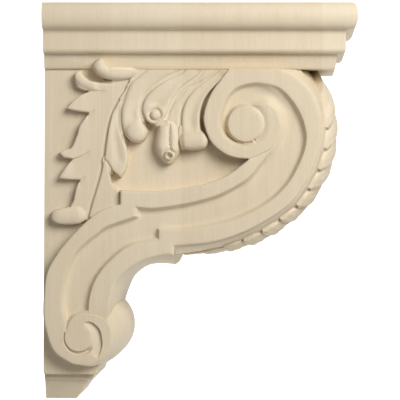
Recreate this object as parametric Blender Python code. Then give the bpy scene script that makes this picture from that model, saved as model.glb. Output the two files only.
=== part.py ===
"""Carved wooden corbel bracket: moulded crown, S-shaped scroll body, side foliage, front leaf and foot.

Metres, +Z up. +X is the projection from the wall, Y the width, and the origin is the middle of the
flat back. Outlines are drawn in millimetres as (out, down): out from the wall and down from the top.
"""
import math

import bmesh
import bpy
from mathutils import Vector

MM = 0.001

# Overall sizes
HEIGHT = 355.6
PROJECTION = 279.4
WIDTH = 165.1

# Crown moulding: the height of each member from the top down, and how far each steps in
TORUS_HEIGHT = 23.4
TORUS_TOP_SET = 6.1
TORUS_FOOT_SET = 4.6
FASCIA_HEIGHT = 16.8
FASCIA_SET = 10.6
FASCIA_ROUND = 4.6
NECKING_HEIGHT = 13.2
NECKING_SET = 18.3
NECKING_SPLAY = 2.4
TORUS_STEPS = 8
ROUND_STEPS = 3
FASCIA_ROUND_IN = 2.3
FASCIA_FALL = 1.0
NECKING_FALL = 0.5

# How far each layer of a side face lies in from the face of the crown's torus
BAND_SET = 8.0
CHANNEL_DEPTH = 6.0
LEAF_SET = 10.0
FIELD_SET = 23.0
ARRIS = 2.4

# Foot: a square cap with a hollow under it, then a tapered block
CAP_SET = 31.0
CAP_REACH = 45.5
CAP_FACE = 3.6
COVE_HEIGHT = 4.4
TAPER_HEIGHT = 16.0
TAPER_SET = 34.5
TAPER_REACH = 37.0
TAPER_END_SET = 40.5
TAPER_END_REACH = 27.7
COVE_STEPS = 3

# Belly cushion and front leaf
CUSHION_POWER = 4.0
CUSHION_STATIONS = (-1.0, -0.92, -0.76, -0.4, 0.4, 0.76, 0.92, 1.0)
FRONT_LEAF_HALF_WIDTH = 58.0
FRONT_LEAF_RISE = 7.5
FRONT_LEAF_ROOT = 6.0
FRONT_LEAF_START_SHARE, FRONT_LEAF_END_SHARE = 0.13, 0.98
FRONT_LEAF_TIP_SHARE = 0.97
FRONT_LEAF_TIP_POWER = 8
EDGE_DROP = 0.45
EDGE_DROP_POWER = 4
FRONT_LOBES = 7
LOBE_DEPTH = 0.26
LOBE_SWEEP = 0.13
LOBE_HOLLOW = 0.55
LOBE_FULLNESS = 0.7
LOBE_STEPS = 5
LEAF_COLUMNS = 12
MIDRIB_SHARE = 0.09

# How finely the curves are divided, and the spare wood that runs into a neighbour
BELLY_STEPS = 29
NECK_STEPS = 13
LEAF_PATH_STEPS = 60
PATH_PROBE = 0.02
CURVE_STEP = 7.0
NEAREST_POINTS = 0.3
BACK_SPARE = 12.0
FOOT_OVERLAP = 2.0

# The drawing's own size, which the outlines below are shares of
DRAWN_PROJECTION = 279.4
DRAWN_CROWN = 58.0
DRAWN_BODY = 273.6

CROWN_HEIGHT = TORUS_HEIGHT + FASCIA_HEIGHT + FASCIA_ROUND + NECKING_HEIGHT
FOOT_HEIGHT = CAP_FACE + COVE_HEIGHT + TAPER_HEIGHT
BODY_HEIGHT = HEIGHT - CROWN_HEIGHT - FOOT_HEIGHT

# Edge of the scroll body at its side face and, where the front swells out, at mid width
BELLY_SIDE = [(185, 52), (217, 61), (238.2, 78.6), (245.8, 99), (246.5, 121), (241.5, 143), (231, 163.5),
              (218.4, 179), (197, 193.7), (176.3, 204), (150.7, 211.9), (117.8, 215.3)]
BELLY_MID = [(208, 48), (232, 54), (246, 72), (254, 93), (256, 116), (252, 141), (241.5, 163),
             (229, 181), (204, 201), (181, 212), (153, 220.5), (117, 224.3)]
NECK_SIDE = [(118, 223.9), (108.9, 223.4), (91.3, 228), (77.2, 236.3), (67.2, 246.8), (62.7, 257.3),
             (60.5, 268), (58.4, 280.5)]
NECK_MID = [(115.8, 234.2), (104.7, 233.1), (92.9, 234.6), (81.9, 240.6), (73.4, 248.3), (68.3, 258.3),
            (65.5, 265), (63.6, 269.4)]
ROLL_CENTRE_SIDE, ROLL_RADIUS_SIDE = (37.6, 296.8), 26.2
ROLL_CENTRE_MID, ROLL_RADIUS_MID = (41.5, 293.3), 32.6
ROLL_TURN_SIDE = (-37, 84)
ROLL_TURN_MID = (-47, 84)
ROLL_STEPS = 12

# Inner edge of the scroll body, from under the roll back up to the crown
BACK_EDGE = [(28, 321.2), (11.6, 310.3), (4.1, 291.9), (1.6, 276), (2.2, 260), (4.6, 240), (13.1, 223.9),
             (24.5, 209.1), (38.1, 195.5), (49.4, 186.3), (60.7, 181.1), (69.8, 178.8)]
INNER_EDGE = [(69.8, 166.2), (99.1, 167), (121.8, 164.6), (140.8, 161.2), (155.4, 156.5), (168.9, 149.7),
              (184, 138)]
VOLUTE_EDGE = [(174.5, 137.6), (163.2, 133.9), (151.9, 125), (145.5, 113), (143.6, 99.2), (149.4, 81.2),
               (160, 66), (170, 52)]

# The sunk channel between the two borders: its outer wall, and its inner wall on the way back
UPPER_EYE, UPPER_EYE_RADIUS = (181, 106.9), 16.1
UPPER_EYE_TURN = (-75, -300)
LOWER_EYE, LOWER_EYE_RADIUS = (33.3, 297.4), 12.4
LOWER_EYE_TURN = (200, -60)
CHANNEL_MEETS_EYE = 205
EYE_GROOVE_CENTRE, EYE_GROOVE_RADIUS = (34.5, 298), 15
EYE_STEPS = 16
CHANNEL_OUTER = [(189, 122.6), (178.9, 125.9), (168.8, 121.9), (160.4, 111), (160.4, 94), (164.5, 81),
                 (174.1, 74.3), (191, 70.9), (207.8, 74.2), (219.1, 83.3), (228.2, 96.6), (233, 110.1),
                 (234.2, 121), (230.6, 135.9), (220, 157), (203.9, 174), (180, 188), (157.8, 195.3),
                 (128, 200.4), (104.5, 201.2)]
NECK_CHANNEL_OUTER = [(104.2, 209.3), (82.4, 214.3), (71.1, 220.1), (59.8, 230.3), (51.9, 239.5),
                      (46.2, 249.7), (42.9, 262.2), (41.8, 273.8)]
CHANNEL_FOOT = [(36, 275.8), (28.5, 279), (24, 284.5)]
NECK_CHANNEL_INNER = [(20.8, 281), (18.2, 268), (18.9, 254.5), (22.3, 238.6), (29.1, 223.8), (37, 214.6),
                      (48.3, 205.5), (59.6, 197.8), (84, 189.3)]
CHANNEL_INNER = [(83.9, 180.8), (99.2, 182), (121.9, 179), (140.8, 174.9), (157.6, 169.5), (174.6, 160.6),
                 (186, 152), (199, 134.5), (206, 124), (210, 110), (207.5, 96.5), (199, 89.5)]

# Front of the plain block behind the carving, from the crown down to the foot
CORE_FRONT = [(226, 52), (236, 75), (240, 100), (240, 125), (232, 150), (214, 175), (185, 195), (150, 206),
              (112, 214), (85, 222), (66, 240), (58, 262), (56, 285), (50.5, 322),
              (46, DRAWN_CROWN + DRAWN_BODY + FOOT_OVERLAP)]

# Side foliage, each strand or leaf as one closed outline of smooth stretches
TOP_CURL = [[(43, 57), (43.9, 54.2), (47.3, 50.2), (51.9, 48.5), (55.5, 51.5), (58, 55)],
            [(75, 56), (110, 54)], [(110, 62), (83.7, 66), (75.8, 68.2), (64.4, 68.9), (53, 66.6), (46.4, 62.6)]]
BIG_LEAF = [[(27.3, 66), (28.3, 61.5), (33.6, 59.2), (35.8, 63.2), (40.4, 67.7), (48.4, 69.9), (62, 70.5),
             (82, 65)],
            [(76.6, 70.9), (68.7, 83.3), (61.9, 94.7), (58, 108.3), (55.8, 121.9), (53.6, 138.9), (47.5, 164),
             (44, 175.1), (40, 193)],
            [(33, 197), (23.9, 197.9), (13.6, 196.8), (6.9, 192.8), (7.4, 186), (15.9, 182.6), (24.1, 180.9)],
            [(26.9, 175.2), (29.2, 164.1), (32.6, 157.6)], [(23.5, 157.4), (13.1, 156.2)],
            [(18.8, 147.1), (25.6, 138.8)], [(18.8, 138), (14.2, 133.4), (17.6, 130.6), (24.5, 128.9)],
            [(26.7, 125.4), (30.1, 116.4), (32.4, 108.4), (40.3, 97.6)], [(34.6, 97), (25.4, 95.4), (19.8, 93.6)],
            [(27.7, 85.2), (34.5, 80.7), (40.2, 78.2)], [(37.1, 78.1), (31.3, 75.6), (28, 71)]]
SIDE_LEAF = [[(79, 70), (72.5, 82), (68.3, 95.9), (67.7, 104.9), (70, 116.2), (74, 125.2), (76.3, 136),
              (74.5, 147), (69.6, 155.4)],
             [(62.2, 149.1), (57.6, 141.2)], [(54.6, 139.5), (56.8, 121.9), (59, 108.3), (63, 94.7), (69.7, 83.3)]]
STEM = [[(54.4, 138), (58.2, 141.5), (59.9, 150.3), (61.7, 159.3), (68.6, 166.1)], [(72, 182), (46, 194)],
        [(41, 190), (45, 175.1), (48.5, 164), (52.4, 150)]]
FINGER = [[(98, 54), (86, 63), (77, 71.6), (71.2, 86.9), (69, 97), (69.6, 108.3), (73.1, 117.4), (78.2, 122.4),
           (85.1, 124.2), (90.7, 121.8), (94.1, 114), (90.6, 107.3), (87.9, 99.2), (87.9, 91.3), (90.5, 83.4),
           (97, 76), (110, 67), (126, 60)], [(126, 54)]]
EYE_LEAF = [[(128, 54), (124, 61.5), (108, 69.5), (96.5, 77.6), (90, 86.5), (88.3, 95.9), (91.7, 103.7),
             (97.5, 107.7), (104.5, 107), (110.4, 99.2), (113.2, 91.3), (117.7, 82.2), (124.5, 74.2),
             (138, 64.5), (148, 54)]]
STRAND = [[(146, 54), (139, 65), (125.5, 75), (118.7, 83), (114.2, 92), (111.6, 99.2), (110, 107)],
          [(121, 110), (122.5, 99.1), (125.4, 87.8), (131, 78.7), (140, 70.9), (158, 60)], [(158, 54)]]
POD = [[(111, 103), (103.1, 108.7), (100.3, 117.3), (99.2, 125.2), (100.9, 132), (105.5, 138.7), (111.2, 143.2),
        (115.8, 142.1), (118.6, 138.6), (123.6, 131.9), (124.2, 121.7), (122.3, 111), (118, 104.5)]]
HOOK = [[(162, 54), (152, 63), (141, 71.6), (132, 79.5), (126.3, 88.3), (123.4, 99.1), (123.6, 112),
         (122.6, 122), (126.2, 129.2), (137, 130.5), (145, 128.6), (147.6, 122), (144.6, 115.8), (140.3, 112),
         (139.3, 98), (142, 86), (150, 72), (165, 60)], [(168, 54)]]

# How far in from LEAF_SET each of them stops, so that they lie over one another as they are carved
FOLIAGE = {"top_curl": (TOP_CURL, 0.0), "big_leaf": (BIG_LEAF, 3.0), "side_leaf": (SIDE_LEAF, 3.6),
           "stem": (STEM, 5.6), "finger": (FINGER, 1.6), "eye_leaf": (EYE_LEAF, 0.6),
           "strand": (STRAND, 3.2), "pod": (POD, 0.0), "hook": (HOOK, 1.2)}


def placed(point):
    """World x and z in metres of a drawn (out, down) point, on a corbel of the sizes above."""
    out, down = point
    if down < DRAWN_CROWN:
        below_top = CROWN_HEIGHT - (DRAWN_CROWN - down)
    else:
        below_top = CROWN_HEIGHT + (down - DRAWN_CROWN) * BODY_HEIGHT / DRAWN_BODY
    return out * PROJECTION / DRAWN_PROJECTION * MM, (HEIGHT / 2 - below_top) * MM


def spline_point(before, start, end, after, share):
    """A point between start and end on the Catmull-Rom curve through all four."""
    return tuple(
        0.5 * (2 * b + (c - a) * share + (2 * a - 5 * b + 4 * c - d) * share ** 2
               + (3 * b - a - 3 * c + d) * share ** 3)
        for a, b, c, d in zip(before, start, end, after))


def smooth(points, step=CURVE_STEP):
    """An open smooth curve through the points, with a new point about every step."""
    if len(points) < 3:
        return list(points)
    ends = [points[0]] + list(points) + [points[-1]]
    curve = []
    for before, start, end, after in zip(ends, ends[1:], ends[2:], ends[3:]):
        pieces = max(1, round(math.dist(start, end) / step))
        curve += [spline_point(before, start, end, after, i / pieces) for i in range(pieces)]
    return curve + [points[-1]]


def resampled(points, steps):
    """The same smooth curve divided into equal steps, to pair it with another."""
    fine = smooth(points, step=1.0)
    runs = [0.0]
    for start, end in zip(fine, fine[1:]):
        runs.append(runs[-1] + math.dist(start, end))
    found, i = [], 0
    for k in range(steps + 1):
        target = runs[-1] * k / steps
        while i < len(runs) - 2 and runs[i + 1] < target:
            i += 1
        share = (target - runs[i]) / (runs[i + 1] - runs[i])
        found.append(tuple(a + (b - a) * share for a, b in zip(fine[i], fine[i + 1])))
    return found


def arc(centre, radius, turn, steps):
    """Points on a circle between two angles in degrees, which grow clockwise as drawn."""
    angles = [math.radians(turn[0] + (turn[1] - turn[0]) * i / steps) for i in range(steps + 1)]
    return [(centre[0] + radius * math.cos(a), centre[1] + radius * math.sin(a)) for a in angles]


def closed_outline(stretches):
    """One closed list of points from smooth stretches that meet at corners."""
    outline = []
    for stretch in stretches:
        for point in smooth(stretch):
            if not outline or math.dist(point, outline[-1]) > NEAREST_POINTS:
                outline.append(point)
    if math.dist(outline[0], outline[-1]) < NEAREST_POINTS:
        outline.pop()
    return outline


def new_object(name, mesh, collection):
    obj = bpy.data.objects.new(name, mesh)
    collection.objects.link(obj)
    return obj


def hide(obj):
    """Marks an object as a shape that only feeds the carved block."""
    obj.hide_render = True
    obj.display_type = "WIRE"
    return obj


def loft(name, rings, collection):
    """A closed solid through rings of as many points each, with a flat face at both ends."""
    bm = bmesh.new()
    loops = [[bm.verts.new(co) for co in ring] for ring in rings]
    for near, far in zip(loops, loops[1:]):
        for i, vert in enumerate(near):
            after = (i + 1) % len(near)
            bm.faces.new((vert, near[after], far[after], far[i]))
    bm.faces.new(loops[0])
    bm.faces.new(loops[-1])
    bmesh.ops.recalc_face_normals(bm, faces=bm.faces)
    bmesh.ops.triangulate(bm, faces=bm.faces)
    mesh = bpy.data.meshes.new(name)
    bm.to_mesh(mesh)
    bm.free()
    return hide(new_object(name, mesh, collection))


def slab(name, outline, half_width, collection, arris=0.0, centre_y=0.0):
    """A flat outline as a solid across the width, its two rims rounded off by arris."""
    curve = bpy.data.curves.new(name, "CURVE")
    curve.dimensions = "2D"
    curve.fill_mode = "BOTH"
    curve.extrude = (half_width - arris) * MM
    curve.bevel_depth = arris * MM
    curve.offset = -arris * MM
    curve.bevel_resolution = 0
    spline = curve.splines.new("POLY")
    spline.points.add(len(outline) - 1)
    for point, drawn in zip(spline.points, outline):
        x, z = placed(drawn)
        point.co = (x, z, 0, 1)
    spline.use_cyclic_u = True
    guide = new_object(name + "_outline", curve, collection)
    guide.rotation_euler = (math.radians(90), 0, 0)
    guide.location = (0, centre_y * MM, 0)
    bpy.context.view_layer.update()
    mesh = bpy.data.meshes.new_from_object(guide.evaluated_get(bpy.context.evaluated_depsgraph_get()))
    bm = bmesh.new()
    bm.from_mesh(mesh)
    bmesh.ops.remove_doubles(bm, verts=bm.verts, dist=0.01 * MM)
    bmesh.ops.recalc_face_normals(bm, faces=bm.faces)
    bm.to_mesh(mesh)
    bm.free()
    solid = new_object(name, mesh, collection)
    solid.matrix_world = guide.matrix_world
    bpy.data.objects.remove(guide)
    return hide(solid)


def crown_profile():
    """(set in, down) points of the moulding from its top edge to its underside."""
    half = TORUS_HEIGHT / 2
    torus = []
    for i in range(TORUS_STEPS + 1):
        angle = math.pi * (i / TORUS_STEPS - 0.5)
        swell = math.cos(angle)
        edge = TORUS_TOP_SET if angle < 0 else TORUS_FOOT_SET
        torus.append((edge * (1 - swell), half + half * math.sin(angle)))
    fascia_end = TORUS_HEIGHT + FASCIA_HEIGHT
    rounding = []
    for i in range(ROUND_STEPS + 1):
        angle = math.pi / 2 * i / ROUND_STEPS
        rounding.append((FASCIA_SET + FASCIA_ROUND_IN * (1 - math.cos(angle)),
                         fascia_end + FASCIA_ROUND * math.sin(angle)))
    necking_top = fascia_end + FASCIA_ROUND
    necking = [(NECKING_SET, necking_top + NECKING_FALL),
               (NECKING_SET + NECKING_SPLAY / 2, CROWN_HEIGHT - NECKING_SPLAY),
               (NECKING_SET + NECKING_SPLAY, CROWN_HEIGHT)]
    return torus + [(FASCIA_SET, TORUS_HEIGHT + FASCIA_FALL)] + rounding + necking


def box_ring(reach, half_width, down):
    """A level rectangle behind and in front of the wall face, for the members that are mitred round."""
    z = (HEIGHT / 2 - down) * MM
    back, front, side = -BACK_SPARE * MM, reach * MM, half_width * MM
    return [(back, -side, z), (front, -side, z), (front, side, z), (back, side, z)]


def make_crown(collection):
    rings = [box_ring(PROJECTION - inset, WIDTH / 2 - inset, down) for inset, down in crown_profile()]
    return loft("crown", rings, collection)


def make_foot(collection):
    side = WIDTH / 2
    cap_top = CROWN_HEIGHT + BODY_HEIGHT
    cove_top = cap_top + CAP_FACE
    rings = [box_ring(CAP_REACH, side - CAP_SET, cap_top - FOOT_OVERLAP),
             box_ring(CAP_REACH, side - CAP_SET, cove_top)]
    for i in range(1, COVE_STEPS + 1):
        angle = math.pi / 2 * i / COVE_STEPS
        inward, down = math.sin(angle), cove_top + COVE_HEIGHT * (1 - math.cos(angle))
        rings.append(box_ring(CAP_REACH + (TAPER_REACH - CAP_REACH) * inward,
                              side - CAP_SET - (TAPER_SET - CAP_SET) * inward, down))
    rings.append(box_ring(TAPER_END_REACH, side - TAPER_END_SET, HEIGHT))
    return loft("foot", rings, collection)


def body_ring(y_share, half_width):
    """The scroll body's outline at one place across the width, swelling out at mid width."""
    swell = 1 - abs(y_share) ** CUSHION_POWER
    pairs = [(BELLY_SIDE, BELLY_MID, BELLY_STEPS), (NECK_SIDE, NECK_MID, NECK_STEPS),
             (arc(ROLL_CENTRE_SIDE, ROLL_RADIUS_SIDE, ROLL_TURN_SIDE, ROLL_STEPS),
              arc(ROLL_CENTRE_MID, ROLL_RADIUS_MID, ROLL_TURN_MID, ROLL_STEPS), ROLL_STEPS)]
    ring = []
    for side, middle, steps in pairs:
        for a, b in zip(resampled(side, steps), resampled(middle, steps)):
            ring.append(tuple(p + (q - p) * swell for p, q in zip(a, b)))
    ring += smooth(BACK_EDGE) + smooth(INNER_EDGE) + smooth(VOLUTE_EDGE)
    y = y_share * half_width * MM
    return [(x, y, z) for x, z in map(placed, ring)]


def make_body(collection):
    half = WIDTH / 2 - BAND_SET
    return loft("scroll_body", [body_ring(share, half) for share in CUSHION_STATIONS], collection)


def channel_outline():
    """The sunk channel, with the grooves that run on round the two eyes."""
    upper_eye = arc(UPPER_EYE, UPPER_EYE_RADIUS, UPPER_EYE_TURN, EYE_STEPS)
    lower_eye = arc(LOWER_EYE, LOWER_EYE_RADIUS, (CHANNEL_MEETS_EYE, 0), 1)[:1]
    return closed_outline([CHANNEL_OUTER, NECK_CHANNEL_OUTER, CHANNEL_FOOT, lower_eye, NECK_CHANNEL_INNER,
                           CHANNEL_INNER, upper_eye])


def eye_groove():
    """The narrow crescent cut round the lower eye."""
    outer = arc(EYE_GROOVE_CENTRE, EYE_GROOVE_RADIUS, LOWER_EYE_TURN, EYE_STEPS)
    inner = arc(LOWER_EYE, LOWER_EYE_RADIUS, LOWER_EYE_TURN[::-1], EYE_STEPS)
    return closed_outline([outer, inner])


def make_cutters(collection):
    """Channels on both sides, and the saw cut that leaves the back flat."""
    depth = CHANNEL_DEPTH
    middle = WIDTH / 2 - BAND_SET
    for side, sign in (("near", -1), ("far", 1)):
        slab("channel_" + side, channel_outline(), depth, collection, centre_y=sign * middle)
        slab("eye_groove_" + side, eye_groove(), depth / 2, collection, centre_y=sign * middle)


def make_core(collection):
    """The plain block behind the carving, whose faces are the field."""
    outline = [(-BACK_SPARE, CORE_FRONT[0][1])] + CORE_FRONT + [(-BACK_SPARE, CORE_FRONT[-1][1])]
    return slab("core", outline, WIDTH / 2 - FIELD_SET, collection)


def along_path(path, share):
    """The point at a share of the way along an evenly spaced path."""
    place = min(max(share, 0.0), 1.0) * (len(path) - 1)
    i = min(int(place), len(path) - 2)
    return Vector(path[i]).lerp(Vector(path[i + 1]), place - i)


def front_leaf_point(side_path, mid_path, share, across, half_width, rise):
    """A point over the belly: along it by share, across it by across, and rise above its skin."""
    swept = share + LOBE_SWEEP * abs(across) * (1 - share)
    place = FRONT_LEAF_START_SHARE + (FRONT_LEAF_END_SHARE - FRONT_LEAF_START_SHARE) * swept
    y = across * half_width
    swell = 1 - abs(y / (WIDTH / 2 - BAND_SET)) ** CUSHION_POWER
    skin = along_path(side_path, place).lerp(along_path(mid_path, place), swell)
    tangent = along_path(mid_path, place + PATH_PROBE) - along_path(mid_path, place - PATH_PROBE)
    outward = Vector((-tangent.y, tangent.x)).normalized()
    x, z = placed(tuple(skin - outward * rise))
    return x, y * MM, z


def make_front_leaf(collection):
    """The leaf that lies over the belly, lobed down both edges, with each lobe lapping the next."""
    side_path, mid_path = (resampled(edge, LEAF_PATH_STEPS) for edge in (BELLY_SIDE, BELLY_MID))
    rows = FRONT_LOBES * LOBE_STEPS
    rings = []
    for row in range(rows + 1):
        share = row / rows
        wave = row % LOBE_STEPS / LOBE_STEPS if row < rows else 1
        plain = FRONT_LEAF_HALF_WIDTH * math.sqrt(1 - (FRONT_LEAF_TIP_SHARE * share) ** FRONT_LEAF_TIP_POWER)
        half_width = plain * (1 - LOBE_DEPTH * (1 - wave) ** 2)
        upper, lower = [], []
        for column in range(LEAF_COLUMNS + 1):
            across = 2 * column / LEAF_COLUMNS - 1
            lobe = LOBE_HOLLOW + (1 - LOBE_HOLLOW) * math.sin(math.pi * wave) ** LOBE_FULLNESS
            if abs(across) < MIDRIB_SHARE:
                lobe = 1
            rise = FRONT_LEAF_RISE * lobe * (1 - EDGE_DROP * across ** EDGE_DROP_POWER)
            upper.append(front_leaf_point(side_path, mid_path, share, across, half_width, rise))
            lower.append(front_leaf_point(side_path, mid_path, share, across, half_width, -FRONT_LEAF_ROOT))
        rings.append(upper + lower[::-1])
    return loft("front_leaf", rings, collection)


def make_foliage(collection):
    for name, (stretches, depth) in FOLIAGE.items():
        slab(name, closed_outline(stretches), WIDTH / 2 - LEAF_SET - depth, collection, arris=ARRIS)


def wood():
    """Pale sanded hardwood with no finish on it."""
    material = bpy.data.materials.new("carved_wood")
    material.use_nodes = True
    shader = material.node_tree.nodes["Principled BSDF"]
    shader.inputs["Base Color"].default_value = (0.70, 0.60, 0.43, 1)
    shader.inputs["Roughness"].default_value = 0.6
    shader.inputs["Metallic"].default_value = 0.0
    return material


def boolean(obj, operation, collection, solver="EXACT"):
    """Joins each shape in the collection to the object, or cuts it out."""
    for shape in collection.objects:
        modifier = obj.modifiers.new(shape.name, "BOOLEAN")
        modifier.operation = operation
        modifier.object = shape
        modifier.solver = solver


def back_saw(collection):
    """The block behind the wall plane that is sawn away."""
    bpy.ops.mesh.primitive_cube_add(size=1, location=(-BACK_SPARE * MM, 0, 0))
    saw = bpy.context.object
    saw.name = "back_saw"
    saw.scale = (2 * BACK_SPARE * MM, 2 * WIDTH * MM, 2 * HEIGHT * MM)
    for owner in list(saw.users_collection):
        owner.objects.unlink(saw)
    collection.objects.link(saw)
    return hide(saw)


def build():
    for obj in list(bpy.data.objects):
        bpy.data.objects.remove(obj)
    scene = bpy.context.scene.collection
    finished, joined, channels, sawn = (bpy.data.collections.new(name) for name in
                                        ("corbel_bracket", "carved_shapes", "channel_cutters", "saw_cut"))
    for collection in (finished, joined, channels, sawn):
        scene.children.link(collection)
    make_cutters(channels)
    body = make_body(joined)
    boolean(body, "DIFFERENCE", channels)
    make_core(joined)
    make_foot(joined)
    make_foliage(joined)
    make_front_leaf(joined)
    back_saw(sawn)
    corbel = make_crown(finished)
    corbel.name = "corbel"
    corbel.hide_render = False
    corbel.display_type = "TEXTURED"
    # So many rounded shapes cross here that the exact solver leaves open edges
    boolean(corbel, "UNION", joined, solver="MANIFOLD")
    boolean(corbel, "DIFFERENCE", sawn, solver="MANIFOLD")
    corbel.data.materials.append(wood())


build()
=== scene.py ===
"""Carved wooden corbel bracket, dressed for its picture.

The piece stands at the wall face, X = 0, with +X out from the wall, Y across and +Z up. Outlines are drawn
in millimetres as (out, down): out from the wall and down from the top of the crown.
"""
import math
from typing import NamedTuple

import bmesh
import bpy
import numpy as np
from bpy.props import FloatProperty, FloatVectorProperty, IntProperty, PointerProperty
from mathutils import Matrix, Vector
from mathutils.geometry import delaunay_2d_cdt


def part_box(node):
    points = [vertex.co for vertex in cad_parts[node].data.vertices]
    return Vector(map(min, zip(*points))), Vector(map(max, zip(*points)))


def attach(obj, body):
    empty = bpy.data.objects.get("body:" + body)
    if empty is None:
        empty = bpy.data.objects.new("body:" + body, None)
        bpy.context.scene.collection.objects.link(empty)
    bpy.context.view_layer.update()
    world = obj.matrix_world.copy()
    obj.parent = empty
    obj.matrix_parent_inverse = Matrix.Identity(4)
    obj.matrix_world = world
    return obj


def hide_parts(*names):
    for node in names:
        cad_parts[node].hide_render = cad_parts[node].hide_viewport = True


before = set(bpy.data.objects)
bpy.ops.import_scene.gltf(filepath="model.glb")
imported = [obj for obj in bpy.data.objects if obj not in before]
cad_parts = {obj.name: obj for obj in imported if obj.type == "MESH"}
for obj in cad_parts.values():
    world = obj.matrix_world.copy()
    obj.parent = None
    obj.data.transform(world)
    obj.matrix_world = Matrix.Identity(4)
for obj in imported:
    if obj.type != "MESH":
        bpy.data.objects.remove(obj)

bl_info = {
    "name": "Carved Corbel",
    "version": (1, 0, 0),
    "blender": (4, 5, 0),
    "location": "View3D > Sidebar > Corbel",
    "description": "Builds a carved wooden corbel bracket with its wood and its studio",
    "category": "Object",
}

MM = 0.001
NODE = "corbel"
LOW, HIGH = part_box(NODE)
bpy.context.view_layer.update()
TOP = HIGH.z
PROJECTION = HIGH.x - LOW.x
HALF_WIDTH = (HIGH.y - LOW.y) / 2
HEIGHT = HIGH.z - LOW.z

# How finely the carving is drawn, in millimetres
OUTLINE_STEP = 1.4
CARVING_STEP = 1.7
BAND_STEP = 3.5
FLAT_STEP = 5.0
EYE_STEP = 0.9
NEAREST_POINTS = 0.3
RING_SLACK = 0.06
DRAWING_GRAIN = 1e-5
ON_LINE = 1e-4
WELD = 0.002
BACK_SPARE = 4.0

# Steps in a curved moulding, and the angles in degrees past which an edge is sanded or shown crisp
TORUS_STEPS, ROUNDING_STEPS = 24, 8
SANDED_ANGLE, CRISP_ANGLE = 25, 35

# Small slopes between the mouldings, and how far the foot runs up into the block
FASCIA_SLOPE, NECKING_SLOPE, CAP_SLOPE = 1 * MM, MM / 2, MM / 3
FOOT_OVERLAP = 2 * MM

# Where the crown cuts the carving off, down from its top, how far what it cuts lies inside its necking, and
# how far out it spares the top curl, all in millimetres
SCROLL_TOP = 58.5
STRANDS_TOP = 59.2
CUT_RUN = 0.4
NECKING_COVER = 1.0
CURL_NECK = (62, 84)

# Valleys where a strand runs up to one that lies over it, and the most of a shape's height that its rounded
# edge may take
VALLEY_DEPTH = 0.4
VALLEY_LEAN = 1.5
VALLEY_REACH = 4.5
VALLEY_FULLNESS = 1.6
EDGE_SHARE = 0.8

# Laps of one finger over the next: the run of their step, and how they fade towards each end of their line
LAP_RUN = 0.45
LAP_FADE = 0.6
LAP_LEAD_IN = 0.25

# Edge of the scroll body at its side face and, where the front swells out, at mid width
BELLY_SIDE = [(185, 52), (217, 61), (238.2, 78.6), (245.8, 99), (246.5, 121), (241.5, 143), (231, 163.5),
              (218.4, 179), (197, 193.7), (176.3, 204), (150.7, 211.9), (117.8, 215.3)]
BELLY_MID = [(208, 48), (232, 54), (246, 72), (254, 93), (256, 116), (252, 141), (241.5, 163),
             (229, 181), (204, 201), (181, 212), (153, 220.5), (117, 224.3)]
NECK_SIDE = [(118, 223.9), (108.9, 223.4), (91.3, 228), (77.2, 236.3), (67.2, 246.8), (62.7, 257.3),
             (60.5, 268), (58.4, 280.5)]
NECK_MID = [(115.8, 234.2), (104.7, 233.1), (92.9, 234.6), (81.9, 240.6), (73.4, 248.3), (68.3, 258.3),
            (65.5, 265), (63.6, 269.4)]
ROLL_CENTRE_SIDE, ROLL_RADIUS_SIDE = (37.6, 296.8), 26.2
ROLL_CENTRE_MID, ROLL_RADIUS_MID = (41.5, 293.3), 32.6
ROLL_TURN_SIDE = (-37, 84)
ROLL_TURN_MID = (-47, 84)

# Inner edge of the scroll body, from under the roll back up to the crown
BACK_EDGE = [(28, 321.2), (11.6, 310.3), (4.1, 291.9), (1.6, 276), (2.2, 260), (4.6, 240), (13.1, 223.9),
             (24.5, 209.1), (38.1, 195.5), (49.4, 186.3), (60.7, 181.1), (69.8, 178.8)]
INNER_EDGE = [(69.8, 166.2), (99.1, 167), (121.8, 164.6), (140.8, 161.2), (155.4, 156.5), (168.9, 149.7),
              (184, 138)]
VOLUTE_EDGE = [(174.5, 137.6), (163.2, 133.9), (151.9, 125), (145.5, 113), (143.6, 99.2), (149.4, 81.2),
               (160, 66), (170, 52)]

# The sunk channel between the two borders: its outer wall, and its inner wall on the way back
UPPER_EYE, UPPER_EYE_RADIUS = (181, 106.9), 16.1
UPPER_EYE_TURN = (-75, -300)
LOWER_EYE, LOWER_EYE_RADIUS = (33.3, 297.4), 12.4
LOWER_EYE_TURN = (200, -60)
CHANNEL_MEETS_EYE = 205
EYE_GROOVE_CENTRE, EYE_GROOVE_RADIUS = (34.5, 298), 15
CHANNEL_OUTER = [(189.7, 121.6), (184, 124.6), (177.3, 125.8), (170.5, 124), (163.2, 119.2), (158.9, 111.6),
                 (158.2, 103), (160.2, 93.2), (165.8, 81.6), (175.2, 74), (191, 70.9), (207.8, 74.2),
                 (219.1, 83.3), (228.2, 96.6), (233, 110.1), (234.2, 121), (230.6, 135.9), (220, 157),
                 (203.9, 174), (180, 188), (157.8, 195.3), (128, 200.4), (104.5, 201.2)]
NECK_CHANNEL_OUTER = [(104.2, 209.3), (82.4, 214.3), (71.1, 220.1), (59.8, 230.3), (51.9, 239.5),
                      (46.2, 249.7), (42.9, 262.2), (41.8, 273.8)]
CHANNEL_FOOT = [(36, 275.8), (28.5, 279), (24, 284.5)]
NECK_CHANNEL_INNER = [(20.8, 281), (18.2, 268), (18.9, 254.5), (22.3, 238.6), (29.1, 223.8), (37, 214.6),
                      (48.3, 205.5), (59.6, 197.8), (84, 189.3)]
CHANNEL_INNER = [(83.9, 180.8), (99.2, 182), (121.9, 179), (140.8, 174.9), (157.6, 169.5), (174.6, 160.6),
                 (186, 152), (199, 134.5), (206, 124), (210, 110), (207.5, 96.5), (199, 89.5)]

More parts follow.
